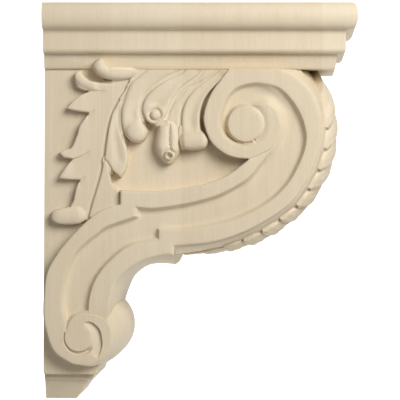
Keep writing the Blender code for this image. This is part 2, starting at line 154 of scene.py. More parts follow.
# Front of the plain block behind the carving, from the crown down to the foot
CORE_FRONT = [(226, 52), (236, 75), (240, 100), (240, 125), (232, 150), (214, 175), (185, 195), (150, 206),
              (112, 214), (85, 222), (66, 240), (58, 262), (56, 285), (50.5, 322), (46.4, 331.6)]

# Side foliage, each strand or leaf as one closed outline of smooth stretches
TOP_CURL = [[(43, 57), (43.9, 54.2), (47.3, 50.2), (51.9, 48.5), (55.5, 51.5), (58, 55)],
            [(75, 56), (110, 54)],
            [(110, 62), (83.7, 66), (75.8, 68.2), (64.4, 68.9), (53, 66.6), (46.4, 62.6)]]
BIG_LEAF = [[(27.3, 66), (28.3, 61.5), (33.6, 59.2), (35.8, 63.2), (40.4, 67.7), (48.4, 69.9), (62, 70.5),
             (82, 65)],
            [(76.6, 70.9), (68.7, 83.3), (61.9, 94.7), (58, 108.3), (55.8, 121.9), (53.6, 138.9),
             (47.5, 164), (44, 175.1), (40, 193)],
            [(33, 197), (23.9, 197.9), (13.6, 196.8), (6.9, 192.8), (7.4, 186), (15.9, 182.6),
             (24.1, 180.9)],
            [(26.9, 175.2), (29.2, 164.1), (32.6, 157.6)],
            [(23.5, 157.4), (13.1, 156.2)],
            [(18.8, 147.1), (25.6, 138.8)],
            [(18.8, 138), (14.2, 133.4), (17.6, 130.6), (24.5, 128.9)],
            [(26.7, 125.4), (30.1, 116.4), (32.4, 108.4), (40.3, 97.6)],
            [(34.6, 97), (25.4, 95.4), (19.8, 93.6)],
            [(27.7, 85.2), (34.5, 80.7), (40.2, 78.2)],
            [(37.1, 78.1), (31.3, 75.6), (28, 71)]]
SIDE_LEAF = [[(79, 70), (72.5, 82), (68.3, 95.9), (67.7, 104.9), (70, 116.2), (74, 125.2), (76.3, 136),
              (74.5, 147), (69.6, 155.4)],
             [(62.2, 149.1), (57.6, 141.2)],
             [(54.6, 139.5), (56.8, 121.9), (59, 108.3), (63, 94.7), (69.7, 83.3)]]
STEM = [[(54.4, 138), (58.2, 141.5), (59.9, 150.3), (61.7, 159.3), (68.6, 166.1)], [(72, 182), (46, 194)],
        [(41, 190), (45, 175.1), (48.5, 164), (52.4, 150)]]
FINGER = [[(98, 54), (86, 63), (77, 71.6), (71.2, 86.9), (69, 97), (69.6, 108.3), (73.1, 117.4),
           (78.2, 122.4), (85.1, 124.2), (90.7, 121.8), (94.1, 114), (90.6, 107.3), (87.9, 99.2),
           (87.9, 91.3), (90.5, 83.4), (97, 76), (110, 67), (126, 60)],
          [(126, 54)]]
EYE_LEAF = [[(128, 54), (124, 61.5), (108, 69.5), (96.5, 77.6), (90, 86.5), (88.3, 95.9), (91.7, 103.7),
             (97.5, 107.7), (104.5, 107), (110.4, 99.2), (113.2, 91.3), (117.7, 82.2), (124.5, 74.2),
             (138, 64.5), (148, 54)]]
STRAND = [[(146, 54), (139, 65), (125.5, 75), (118.7, 83), (114.2, 92), (111.6, 99.2), (110, 107)],
          [(122.8, 125), (122.6, 112), (122.8, 99.1), (125.4, 87.8), (131, 78.7), (140, 70.9), (158, 60)],
          [(158, 54)]]
POD = [[(111, 103), (103.1, 108.7), (100.3, 117.3), (99.2, 125.2), (100.9, 132), (105.5, 138.7),
        (111.2, 143.2), (115.8, 142.1), (118.6, 138.6), (122.6, 131.5), (123, 121.7), (121.6, 111),
        (118, 104.5)]]
HOOK = [[(162, 54), (152, 63), (141, 71.6), (132, 79.5), (126.3, 88.3), (123.4, 99.1), (123.4, 112),
         (123.8, 122), (126.6, 129.2), (137, 130.5), (145, 128.6), (147.6, 122), (144.6, 115.8), (141, 111),
         (140.6, 99), (142.3, 91), (145, 84.5), (150.5, 77), (161, 68), (178, 60)], [(190, 54)]]

BACKBOARD_TOP = 44.0

# Lines of the steps, laps and creases within a face, and the rings drawn round the two small eyes
LOWER_GROOVE_WALL = [(38.4, 283.9), (43.5, 283.2), (48.8, 286.1), (52.4, 290.3), (53.8, 295.5), (54.6, 303),
                     (52.6, 311.6), (49.5, 316.4)]
LOWER_SPIRAL = [(35.5, 275.8), (44.5, 277.1), (51.6, 278.8), (57, 281.9), (61.9, 290), (64.2, 299.1)]
UPPER_SPIRAL = [(209.1, 107.3), (209.2, 116.8), (206.3, 123.9), (201.6, 129.2), (193.3, 133.7),
                (183.9, 137.6)]
LEAF_LAPS = [[(37, 78.8), (42.4, 77.6), (50, 77.4), (57.6, 77.6)],
             [(39.9, 97.6), (43.1, 95.9), (45.7, 93.5)],
             [(25.3, 138.6), (31.9, 136.5), (37.2, 134), (42.1, 130)],
             [(33, 156.9), (35.7, 155), (37.8, 152.4)]]
STRAND_CREASE = [(112.1, 96.8), (117.9, 86.9), (127.6, 77.1), (140, 69.6)]
CURLED_EYE, CURLED_EYE_RINGS = (100.3, 99.2), (3.4, 4.2, 4.9, 5.8, 7.4)
POD_HOLE, POD_HOLE_RINGS = (113.2, 135.3), (1.4, 2.2, 3.2, 4.3, 5.2)


class Carving(NamedTuple):
    """One strand or leaf: its outline, how far in from the leaf set its face lies, how round its edge is and
    what is worked into its face, all in millimetres."""
    outline: list
    depth: float
    edge: float
    working: tuple


def groove(points, line, depth, width):
    """A soft groove along a line."""
    return -depth * np.exp(-(distance_to(points, line) / width) ** 2)


def roll(points, line, rise, radius):
    """A rounded bead or ball that stands on a line."""
    share = distance_to(points, line) / radius
    return rise * np.sqrt(np.clip(1 - share ** 2, 0, 1))


def lap(points, line, fall, reach):
    """A face that drops below a line, as where one finger lies over the next, and comes back to its level."""
    line = stretch(line)
    line_x, line_down = line[:, 0], line[:, 1]
    below = points[:, 1] - np.interp(points[:, 0], line_x, line_down)
    along = (points[:, 0] - line_x[0]) / (line_x[-1] - line_x[0])
    fade = np.clip(1 - along, 0, 1) ** LAP_FADE * np.clip(1 + along / LAP_LEAD_IN, 0, 1)
    step = np.clip(below / LAP_RUN, 0, 1)
    return -fall * fade * step * np.exp(-np.maximum(below, 0) / reach)


def eased(share):
    """A share that starts and ends gently."""
    return share ** 2 * (3 - 2 * share)


def slope(points, line, fall, reach):
    """A face that falls away from a line."""
    return -fall * eased(np.clip(distance_to(points, line) / reach, 0, 1))


def ring(points, centre, radius, rise, width):
    """A raised or sunk ring round a centre."""
    away = np.linalg.norm(points - np.array(centre), axis=1)
    return rise * np.exp(-((away - radius) / width) ** 2)


def hole(points, centre, radius, depth, wall):
    """A round hole with a sloping wall."""
    away = np.linalg.norm(points - np.array(centre), axis=1)
    return -depth * eased(np.clip((radius + wall - away) / wall, 0, 1))


# Each carving with its depth, its edge and what is worked into its face. A work is given by its line or its
# centre and then, in the order of its function, its measures in millimetres.
CARVINGS = {
    "top_curl": Carving(TOP_CURL, 0.0, 5.0, (
        (roll, [(51, 56.5), (52, 57.5)], 2.2, 7.5), (slope, [(40, 56), (56, 60)], 3.5, 45.0))),
    "big_leaf": Carving(BIG_LEAF, 4.0, 1.4, (
        (lap, LEAF_LAPS[0], 0.9, 5.0), (lap, LEAF_LAPS[1], 1.4, 5.0),
        (lap, LEAF_LAPS[2], 2.4, 7.0), (lap, LEAF_LAPS[3], 1.4, 5.0),
        (roll, [(30.5, 64), (35, 69), (44, 73)], 2.4, 4.6), (roll, [(15, 189.7), (30, 189.7)], 3.6, 8.2),
        (slope, [(20, 94), (14, 132), (14, 156)], 1.8, 34.0))),
    "side_leaf": Carving(SIDE_LEAF, 2.8, 1.6, (
        (groove, [(66, 96), (64.5, 118), (68, 138)], 1.1, 3.8),)),
    "stem": Carving(STEM, 3.6, 1.2, ()),
    "finger": Carving(FINGER, 1.4, 4.0, (
        (roll, [(83.5, 114.5), (84, 115)], 2.6, 9.0),
        (groove, [(118, 60), (97, 72), (83, 88), (80, 100)], 1.2, 4.0))),
    "eye_leaf": Carving(EYE_LEAF, 0.6, 2.6, (
        (groove, [(136, 60), (117, 72), (106, 84), (101, 90)], 1.8, 4.5),
        (ring, CURLED_EYE, 7.6, 0.7, 1.9), (ring, CURLED_EYE, 4.9, -1.3, 0.9),
        (roll, [CURLED_EYE, (100.4, 99.3)], 2.6, 4.2))),
    "strand": Carving(STRAND, 3.2, 1.6, ((groove, STRAND_CREASE, 0.8, 1.0),)),
    "pod": Carving(POD, 0.0, 7.0, (
        (groove, [(113.6, 108), (112.5, 120), (113.6, 128.5), (117, 134.5)], 1.6, 0.8),
        (roll, [(107.5, 112), (106, 128)], 0.9, 4.0), (roll, [(118, 112), (118.5, 128)], 0.9, 4.0),
        (ring, POD_HOLE, 5.2, -1.1, 0.8), (ring, POD_HOLE, 3.2, 1.8, 1.1), (hole, POD_HOLE, 1.7, 4.0, 0.9))),
    "hook": Carving(HOOK, 1.2, 2.4, (
        (groove, [(157, 64), (144, 76), (136, 88), (132.5, 100), (132.5, 108)], 1.6, 4.2),
        (roll, [(129, 122.8), (141.5, 121.8)], 4.6, 7.6))),
}

# The quirk, a fine groove between the belly and its bands, as shares of the half width and of its run
QUIRK_CENTRE, QUIRK_SPREAD, QUIRK_FADE = 0.974, 0.014, 0.3
QUIRK_PLACES = (1, 0.992, 0.984, 0.976, 0.968, 0.96, 0.952, 0.94, 0.92, 0.89, 0.85, 0.8, 0.74, 0.67)

# The channel: its lip and wall, how much deeper it is where it is narrow round the upper eye, and where on
# the eye's right its wall is soft, in millimetres, degrees and shares
CHANNEL_LIP, CHANNEL_WALL = 1.0, 1.5
NARROW_ANGLE, NARROW_SPREAD, NARROW_REACH, NARROW_EXTRA = 140, 55, 12, 0.4
SOFT_WALL, SOFT_POWER = 9.0, 1.2
SOFT_TURN, SOFT_TURN_FADES = (-85, 70), (30, 25)
SOFT_REACH, SOFT_REACH_FADE = 44, 6

# The eyes: lip, wall and fillet of the lower eye's crescent, the open groove on its right, the groove on the
# upper eye's right, and the steps by which their rings stand over the bands
CRESCENT_WALLS = (0.5, 0.4, 0.9)
CURL_FADE, CURL_LIP, CURL_WALL, CURL_HOLLOW = 0.5, 0.6, 0.25, 0.8
GROOVE_TURN, GROOVE_DEPTH, GROOVE_EASE, GROOVE_RUNS = (-80, 65), 2.6, 1.5, (0.8, 5.0)
LOWER_STEP, UPPER_STEP, STEP_RUN, STEP_REACH, STEP_FADE = 0.9, 1.3, 0.45, 9.0, 0.4

# Lines of points that follow each edge, by how many millimetres they lie in from it or, round the eyes, out
CARVING_RINGS = (0.0, 0.5, 0.75, 1.3, 2.2, 3.4)
CHANNEL_RINGS = (-1.0, -0.45, 0.0, 0.75, 1.5, 1.9, 2.7, 4.1)
EDGE_RINGS = (0.2, 0.6, 1.1, 1.8)
GROOVE_RINGS = (-0.5, 0.0, 0.4, 1.2)
UPPER_EYE_RINGS, UPPER_EYE_RINGS_TURN, UPPER_EYE_RINGS_CLEAR = (-0.4, 0.3, 1.6, 3.2, 5.0), (-72, 56), 0.4
WALL_LINES = (-3.4, -1.6, -CURL_WALL, CURL_WALL, 1.4)
SPIRAL_LINES = (-0.2, 0.0, STEP_RUN, 1.4)
LINE_CLEAR = 1.0

# The front leaf: where along the belly it lies, and how finely it is drawn
LEAF_START, LEAF_RUN, LEAF_TURN = 0.09, 0.89, 0.02
LEAF_STEP, LEAF_PATH_STEPS = 1.0, 240
LOBE_ROWS, LEAF_COLUMNS, ROOT_COLUMNS = 22, 76, 4

# Shares of the front leaf and powers of its curves: a lobe's shoulder, the tip, the quiet middle of the lower
# half, the lap's growth and drop, veins, falling edge, midrib, hollow beside it, and both ends
LOBE_SHOULDER = 0.6
TIP_SHARE, TIP_POWER = 0.97, 8
QUIET_START, QUIET_RUN, QUIET_WIDTH, QUIET_POWER, QUIET_SHARE = 0.42, 0.15, 0.6, 6, 0.85
LAP_GROWTH, LAP_DROP = 0.8, 14
VEIN_PLACES, VEIN_WIDTH, VEIN_START = (0.35, 0.68), 0.07, 0.3
EDGE_FALL, EDGE_FALL_POWER = 0.55, 12
MIDRIB_WIDTH = 0.07
HOLLOW_PLACE, HOLLOW_WIDTH, HOLLOW_DEPTH = 1.35, 0.3, 0.8
TOP_SWELL, TOP_RUN = 0.5, 0.14
FOOT_FALL, FOOT_START = 0.7, 0.7

# The studio, in metres and degrees: each light's place, what it looks at and its width, the camera, the floor
LIGHTS = {"key": ((0.9, -1.15, 0.72), (0.12, 0, 0), 0.8),
          "fill": ((-1.2, -1.6, 0.2), (0.12, 0, 0), 1.6),
          "backdrop_light": ((0.1, 1.6, 1.9), (0.1, 3.7, -0.3), 2.4)}
CAMERA_PLACE, CAMERA_AIM, CAMERA_ROLL = (0.232, -1.66055, 0.0278), (0.1413, -0.08255, 0.0035), 0.3
SENSOR_WIDTH, SIGHT = 36, 20
FLOOR_REACH, FLOOR_END, BACKDROP_RADIUS, BACKDROP_HEIGHT, BACKDROP_STEPS = 6.0, 3.0, 1.0, 6.0, 12


def linear(colour):
    """Linear light from an sRGB hex colour."""
    shares = [int(colour[i:i + 2], 16) / 255 for i in (1, 3, 5)]
    return tuple(s / 12.92 if s <= 0.04045 else ((s + 0.055) / 1.055) ** 2.4 for s in shares)


def length(name, size, description):
    """A length that the panel shows, given in millimetres."""
    return FloatProperty(name=name, description=description, default=size * MM, unit="LENGTH")


def factor(name, share, description, high=1.0):
    """A share between nothing and a limit, which the panel shows."""
    return FloatProperty(name=name, description=description, default=share, min=0, max=high, subtype="FACTOR")


def tint(name, shade, description):
    """A colour that the panel shows, given as an sRGB hex colour."""
    return FloatVectorProperty(name=name, description=description, subtype="COLOR", size=3, min=0, max=1,
                               default=linear(shade))


class CrownSizes(bpy.types.PropertyGroup):
    torus_height: length("Torus Height", 23.4, "Height of the half-round at the top")
    torus_top_set: length("Torus Top Set", 6.1, "How far its top edge lies in")
    torus_foot_set: length("Torus Foot Set", 7.8, "How far its lower edge lies in")
    fascia_height: length("Fascia Height", 16.8, "Height of the flat band below")
    fascia_set: length("Fascia Set", 10.6, "How far the flat band lies in")
    fascia_round: length("Fascia Rounding", 4.6, "Height of the rounding under the band")
    fascia_round_in: length("Fascia Rounding Depth", 4.8, "How far the rounding runs in")
    necking_height: length("Necking Height", 13.2, "Height of the band under the rounding")
    necking_set: length("Necking Set", 18.3, "How far the necking lies in")
    necking_splay: length("Necking Splay", 2.4, "How far the necking leans in at its foot")
    arris: length("Arris", 0.45, "Width of the sanded edges")


class FootSizes(bpy.types.PropertyGroup):
    cap_set: length("Cap Set", 31.0, "How far the foot's cap lies in at each side")
    cap_reach: length("Cap Reach", 45.5, "How far the cap stands out from the wall")
    cap_face: length("Cap Face", 5.6, "Height of the cap's flat face")
    cap_splay: length("Cap Splay", 1.8, "How far the cap's face leans in at its foot")
    cap_overhang: length("Cap Overhang", 1.8, "How far the cap stands out over the hollow")
    cove_height: length("Cove Height", 4.2, "Height of the hollow under the cap")
    taper_height: length("Taper Height", 14.2, "Height of the tapered end")
    taper_set: length("Taper Set", 34.5, "How far the taper's top lies in at each side")
    taper_reach: length("Taper Reach", 37.0, "How far the taper's top stands out")
    end_set: length("End Set", 40.5, "How far the lowest edge lies in at each side")
    end_reach: length("End Reach", 27.7, "How far the lowest edge stands out")


class ScrollSizes(bpy.types.PropertyGroup):
    band_set: length("Band Set", 8.0, "How far the flat bands lie in from the crown")
    channel_depth: length("Channel Depth", 6.0, "Depth of the channel between the bands")
    channel_fillet: length("Channel Fillet", 2.6, "Radius where the channel's floor meets its wall")
    eye_groove_depth: length("Eye Groove Depth", 3.0, "Depth of the groove round the lower eye")
    arris: length("Arris", 1.7, "Radius of the sanded edges of the bands")
    quirk: length("Quirk", 2.2, "Depth of the fine groove between the belly and its bands")
    cushion_power: FloatProperty(name="Cushion Fullness", description="How square the swelling front is",
                                 default=4.0, min=2.0, max=12.0)
    slices: IntProperty(name="Slices", description="Sections across the middle", default=16, min=8)


class FoliageSizes(bpy.types.PropertyGroup):
    leaf_set: length("Leaf Set", 10.0, "How far the foremost leaf lies in from the crown")
    field_set: length("Field Set", 23.0, "How far the plain field lies in from the crown")
    wall_run: length("Wall Run", 0.5, "How far a carved wall leans over its height")


class FrontLeafSizes(bpy.types.PropertyGroup):
    half_width: length("Half Width", 63.0, "From the midrib to the lobes' tips")
    rise: length("Rise", 4.2, "How far the leaf stands off the belly")
    lap: length("Lap", 3.6, "How far each lobe's end stands over the next lobe")
    root: length("Root", 6.0, "How far the leaf is sunk into the belly")
    lobes: IntProperty(name="Lobes", description="Pairs of lobes", default=11, min=3, max=16)
    plain_top: factor("Plain Top", 0.06, "Share of the length above the first lobes", high=0.4)
    notch: factor("Notch", 0.08, "How far the notches between lobes run in", high=0.5)
    sweep: factor("Sweep", 0.13, "How far the lobes sweep down towards the edge", high=0.3)
    vein_depth: length("Vein Depth", 0.5, "Depth of the veins in each lobe")
    midrib_rise: length("Midrib Rise", 1.0, "How far the midrib stands up")


class WoodLook(bpy.types.PropertyGroup):
    pale: tint("Pale Wood", "#e2d4ba", "Colour of the early wood")
    deep: tint("Deep Wood", "#d5c3a5", "Colour of the late wood")
    board_width: length("Board Width", 62.0, "Width of the boards the block is glued from")
    roughness: factor("Roughness", 0.62, "Roughness of the sanded, unfinished surface")


class StageSetup(bpy.types.PropertyGroup):
    floor_colour: tint("Floor", "#f6f6f6", "Colour of the floor and backdrop")
    floor_drop: FloatProperty(name="Floor Drop", description="How far below the foot the floor lies",
                              default=1.2, unit="LENGTH")
    key_power: FloatProperty(name="Key Light", description="Power of the large soft light", default=23.5,
                             unit="POWER")
    fill_power: FloatProperty(name="Fill Light", description="Power of the light from the left", default=3.0,
                              unit="POWER")
    backdrop_power: FloatProperty(name="Backdrop Light", description="Power of the light on the backdrop",
                                  default=170.0, unit="POWER")
    sky: FloatProperty(name="Surround", description="Strength of the white surround", default=0.14, min=0)
    lens: FloatProperty(name="Lens", description="Focal length", default=161.8, min=1, unit="CAMERA")


def sizes(name):
    """The named group of sizes, as the scene holds it."""
    return getattr(bpy.context.scene, name)


def in_mm(size):
    """A length of the scene in millimetres."""
    return size / MM


def quarter_turn(steps):
    """Angles in even steps over a quarter of a turn."""
    return [math.pi / 2 * i / steps for i in range(steps + 1)]


def stretch(points, step=OUTLINE_STEP):
    """A smooth open curve through the points, with a new point about every step."""
    points = np.array(points, float)
    ends = np.vstack([points[:1], points, points[-1:]])
    curve = []
    for before, start, end, after in zip(ends, ends[1:], ends[2:], ends[3:]):
        pieces = max(1, round(float(np.linalg.norm(end - start)) / step))
        share = np.arange(pieces)[:, None] / pieces
        curve.append(0.5 * (2 * start + (end - before) * share
                            + (2 * before - 5 * start + 4 * end - after) * share ** 2
                            + (3 * start - before - 3 * end + after) * share ** 3))
    return np.vstack(curve + [points[-1:]])


def evenly(curve, steps):
    """The same open curve divided into equal steps."""
    run = np.concatenate([[0], np.cumsum(np.linalg.norm(np.diff(curve, axis=0), axis=1))])
    at = np.linspace(0, run[-1], steps + 1)
    return np.stack([np.interp(at, run, curve[:, axis]) for axis in range(2)], 1)


def arc(centre, radius, turn, step=OUTLINE_STEP):
    """Points on a circle between two angles in degrees, which grow clockwise as drawn."""
    steps = max(2, round(abs(math.radians(turn[1] - turn[0])) * radius / step))
    angles = np.radians(np.linspace(turn[0], turn[1], steps + 1))
    return np.array(centre) + radius * np.stack([np.cos(angles), np.sin(angles)], 1)


def closed(stretches):
    """One closed outline from curves that meet at corners, its long straight edges divided too."""
    points = np.vstack(stretches)
    gap = np.linalg.norm(points - np.roll(points, 1, axis=0), axis=1)
    points = points[gap > NEAREST_POINTS]
    divided = []
    for start, end in zip(points, np.roll(points, -1, axis=0)):
        pieces = max(1, round(float(np.linalg.norm(end - start)) / OUTLINE_STEP))
        divided.append(start + (end - start) * np.arange(pieces)[:, None] / pieces)
    return np.vstack(divided)


def distance_to(points, line, is_closed=False):
    """How far each point is from a line of points."""
    line = np.array(line, float)
    ends = np.roll(line, -1, axis=0) if is_closed else line[1:]
    nearest = np.full(len(points), np.inf)
    for start, end in zip(line, ends):
        along = end - start
        away = points - start
        share = np.clip(away @ along / max(along @ along, DRAWING_GRAIN), 0, 1)
        gap = away - share[:, None] * along
        nearest = np.minimum(nearest, (gap ** 2).sum(1))
    return np.sqrt(nearest)


def inside(points, outline):
    """Whether each point lies within a closed outline."""
    within = np.zeros(len(points), bool)
    x, y = points[:, 0], points[:, 1]
    for (x1, y1), (x2, y2) in zip(outline, np.roll(outline, -1, axis=0)):
        if y1 != y2:
            within ^= ((y1 > y) != (y2 > y)) & (x < (x2 - x1) * (y - y1) / (y2 - y1) + x1)
    return within


def depth_in(points, outline):
    """How deep each point lies in a closed outline, or less than nothing outside it."""
    distance = distance_to(points, outline, is_closed=True)
    distance[distance < ON_LINE] = 0
    return np.where(inside(points, outline), distance, -distance)


def rise_from_edge(depth, height, wall, edge):
    """Height of a carved shape over its ground: a steep wall, a rounded edge, then its face."""
    edge = np.minimum(edge, EDGE_SHARE * height)
    up_wall = np.clip(depth / wall, 0, 1) * (height - edge)
    turn = np.clip((depth - wall) / edge, 0, 1)
    return np.where(depth <= 0, 0, up_wall + edge * np.sqrt(1 - (1 - turn) ** 2))


def sunk(depth, floor, lip, wall, fillet):
    """Depth of a channel: its rounded lip, its wall and the fillet down to its floor."""
    at_lip = lip * (1 - np.sqrt(1 - np.clip((depth + lip) / lip, 0, 1) ** 2))
    down_wall = lip + np.clip(depth / wall, 0, 1) * (floor - fillet - lip)
    turn = np.clip((depth - wall) / fillet, 0, 1)
    down_fillet = floor - fillet + fillet * np.sqrt(1 - (1 - turn) ** 2)
    return np.where(depth <= 0, at_lip, np.where(depth < wall, down_wall, down_fillet))


def offset_ring(outline, inset):
    """The outline moved inwards, and where along it the move keeps its true distance."""
    along = np.roll(outline, -1, axis=0) - np.roll(outline, 1, axis=0)
    across = np.stack([-along[:, 1], along[:, 0]], 1) / np.linalg.norm(along, axis=1)[:, None]
    x, y = outline[:, 0], outline[:, 1]
    turn = np.sum(x * np.roll(y, -1) - np.roll(x, -1) * y)
    moved = outline + across * inset * math.copysign(1, turn)
    return moved, np.abs(depth_in(moved, outline) - inset) < RING_SLACK


class Drawing:
    """Points and lines on a face, gathered to be divided into triangles."""

    def __init__(self, boundary):
        self.boundary = boundary
        self.points = []
        self.lines = []
        self.count = 0
        self.add_line(boundary, np.ones(len(boundary), bool))

    def add_line(self, run, kept, is_closed=True):
        """Adds the kept points of a line, joined to one another where they are neighbours."""
        number = np.full(len(run), -1)
        number[kept] = self.count + np.arange(kept.sum())
        pairs = np.stack([number, np.roll(number, -1)], 1)
        if not is_closed:
            pairs = pairs[:-1]
        self.lines += pairs[(pairs >= 0).all(1)].tolist()
        self.points.append(run[kept])
        self.count += int(kept.sum())

    def add_rings(self, outline, insets):
        """Adds lines of points that follow an outline at each distance in from it."""
        for inset in insets:
            run, kept = (outline, np.ones(len(outline), bool)) if inset == 0 else offset_ring(outline, inset)
            clear = depth_in(run, self.boundary) > NEAREST_POINTS
            self.add_line(run, kept & clear)

    def add_level_lines(self, downs):
        """Adds level lines of points right across the face."""
        low, high = self.boundary[:, 0].min(), self.boundary[:, 0].max()
        for down in downs:
            out = np.arange(low, high, CARVING_STEP)
            run = np.stack([out, np.full(len(out), down)], 1)
            self.add_line(run, depth_in(run, self.boundary) > NEAREST_POINTS, is_closed=False)

    def add_grid(self, step, keep):
        """Adds a grid of staggered points wherever keep says so."""
        low, high = self.boundary.min(0), self.boundary.max(0)
        rows = np.arange(low[1], high[1], step * math.sqrt(3) / 2)
        grid = []
        for i, row in enumerate(rows):
            out = np.arange(low[0] + (i % 2) * step / 2, high[0], step)
            grid.append(np.stack([out, np.full_like(out, row)], 1))
        grid = np.vstack(grid)
        grid = grid[keep(grid)]
        self.points.append(grid)
        self.count += len(grid)

    def triangles(self):
        """The points and triangles of the drawing within its boundary."""
        flat = [Vector(point) for point in np.vstack(self.points).tolist()]
        corners, _, faces, _, _, _ = delaunay_2d_cdt(flat, self.lines, [], 0, DRAWING_GRAIN)
        points = np.array([tuple(corner) for corner in corners])
        faces = np.array(faces)
        return points, faces[inside(points[faces].mean(1), self.boundary)]


def solid(name, points, faces):
    """A closed mesh object from (out, across, down) points in millimetres."""
    points = np.array(points, float) * MM
    mesh = bpy.data.meshes.new(name)
    mesh.from_pydata(np.stack([points[:, 0], points[:, 1], TOP - points[:, 2]], 1).tolist(), [], faces)
    bm = bmesh.new()
    bm.from_mesh(mesh)
    bmesh.ops.remove_doubles(bm, verts=bm.verts, dist=WELD * MM)
    bmesh.ops.triangulate(bm, faces=bm.faces)
    bmesh.ops.recalc_face_normals(bm, faces=bm.faces)
    if any(len(edge.link_faces) != 2 for edge in bm.edges):
        raise RuntimeError(f"{name} is not closed")
    bm.to_mesh(mesh)
    bm.free()
    obj = bpy.data.objects.new(name, mesh)
    bpy.context.scene.collection.objects.link(obj)
    return obj


def block(name, low, high):
    """A square block between two corners, each (out, across, down) in millimetres."""
    corners = [(x, y, z) for x in (low[0], high[0]) for y in (low[1], high[1]) for z in (low[2], high[2])]
    faces = [(0, 1, 3, 2), (4, 6, 7, 5), (0, 4, 5, 1), (2, 3, 7, 6), (0, 2, 6, 4), (1, 5, 7, 3)]
    return solid(name, corners, faces)


def edge_of(faces):
    """The directed edges of a sheet of triangles that no other triangle shares."""
    directed = np.vstack([faces[:, [0, 1]], faces[:, [1, 2]], faces[:, [2, 0]]])
    known = {tuple(pair) for pair in directed.tolist()}
    return [(a, b) for a, b in directed.tolist() if (b, a) not in known]


def ring_faces(rows, count):
    """The faces between rings that each have as many points, from one ring to the next."""
    return [(row * count + i, row * count + (i + 1) % count, (row + 1) * count + (i + 1) % count,
             (row + 1) * count + i) for row in range(rows) for i in range(count)]


def both_sides(points, half_width):
    """The points of a carved face, on the near side and on the far one."""
    return [np.stack([points[:, 0], across, points[:, 1]], 1) for across in (-half_width, half_width)]


def field_half_width():
    """Half the width of the block at its plain field, in millimetres."""
    return in_mm(HALF_WIDTH - sizes("corbel_foliage").field_set)


def necking_half_width():
    """Half the width of the crown's necking, less enough to let what lies inside it be hidden."""
    crown = sizes("corbel_crown")
    return in_mm(HALF_WIDTH - crown.necking_set - crown.necking_splay) - NECKING_COVER


def below_crown(points, line, half_width):
    """Half the width of carving that the crown cuts off along a level line."""
    necking = necking_half_width()
    share = np.clip((line - points[:, 1]) / CUT_RUN, 0, 1)
    return np.where(half_width > necking, half_width + (necking - half_width) * share, half_width)


def foliage_half_width(points, outlines):
    """Half the width of the block at each point of its carved side."""
    foliage = sizes("corbel_foliage")
    field = field_half_width()
    foremost = in_mm(HALF_WIDTH - foliage.leaf_set)
    wall = in_mm(foliage.wall_run)
    half_width = np.full(len(points), field)
    depths = {name: depth_in(points, outlines[name]) for name in CARVINGS}
    for name, carving in CARVINGS.items():
        # How deep each point lies in the carvings that lie over this one
        beside = np.full(len(points), -VALLEY_REACH)
        for other, lying_over in CARVINGS.items():
            if lying_over.depth < carving.depth:
                beside = np.maximum(beside, depths[other])
        reached = depths[name] > -VALLEY_REACH
        depth = depths[name][reached]
        # Between this one and those the face runs on, so that no ground shows in the crack
        gap = -VALLEY_LEAN * np.minimum(depth, 0) - np.minimum(beside[reached], 0)
        face = np.full(len(depth), foremost - carving.depth - field)
        for work, *measures in carving.working:
            face += work(points[reached], *measures)
        nearness = np.clip(VALLEY_FULLNESS * (1 - (gap / VALLEY_REACH) ** 2), 0, 1)
        run_on = (face - VALLEY_DEPTH * carving.edge) * nearness
        carved = field + np.maximum(rise_from_edge(depth, face, wall, carving.edge), run_on)
        cut = below_crown(points[reached], STRANDS_TOP, carved)
        if name == "top_curl":
            past_ball = np.clip((points[reached][:, 0] - CURL_NECK[0]) / (CURL_NECK[1] - CURL_NECK[0]), 0, 1)
            cut = np.where(carved > cut, carved + (cut - carved) * past_ball, cut)
        half_width[reached] = np.maximum(half_width[reached], cut)
    return half_width


def foliage_drawing(boundary, outlines):
    """The points and lines on the backboard's side: fine along and on the carvings, coarse on the field."""
    drawing = Drawing(boundary)
    for outline in outlines.values():
        drawing.add_rings(outline, CARVING_RINGS)
    for line in LEAF_LAPS:
        for drop in (0, LAP_RUN):
            run = stretch(line) + np.array((0, drop))
            drawing.add_line(run, depth_in(run, outlines["big_leaf"]) > CARVING_RINGS[1], is_closed=False)
    crease = stretch(STRAND_CREASE)
    drawing.add_line(crease, np.ones(len(crease), bool), is_closed=False)
    for centre, radii in ((CURLED_EYE, CURLED_EYE_RINGS), (POD_HOLE, POD_HOLE_RINGS)):
        for radius in radii:
            circle = arc(centre, radius, (0, 360), step=EYE_STEP)[:-1]
            drawing.add_line(circle, np.ones(len(circle), bool))

    def on_carving(grid):
        within = np.zeros(len(grid), bool)
        near = np.zeros(len(grid), bool)
        for outline in outlines.values():
            depth = depth_in(grid, outline)
            within |= depth > CARVING_RINGS[-1]
            near |= (depth > -NEAREST_POINTS) & (depth < CARVING_RINGS[-1] + CARVING_STEP / 2)
        return within & ~near

    def on_field(grid):
        clear = depth_in(grid, boundary) > FLAT_STEP / 2
        for outline in outlines.values():
            clear &= depth_in(grid, outline) < -CARVING_STEP
        return clear

    drawing.add_level_lines((STRANDS_TOP - CUT_RUN, STRANDS_TOP))
    drawing.add_grid(CARVING_STEP, on_carving)
    drawing.add_grid(FLAT_STEP, on_field)
    return drawing


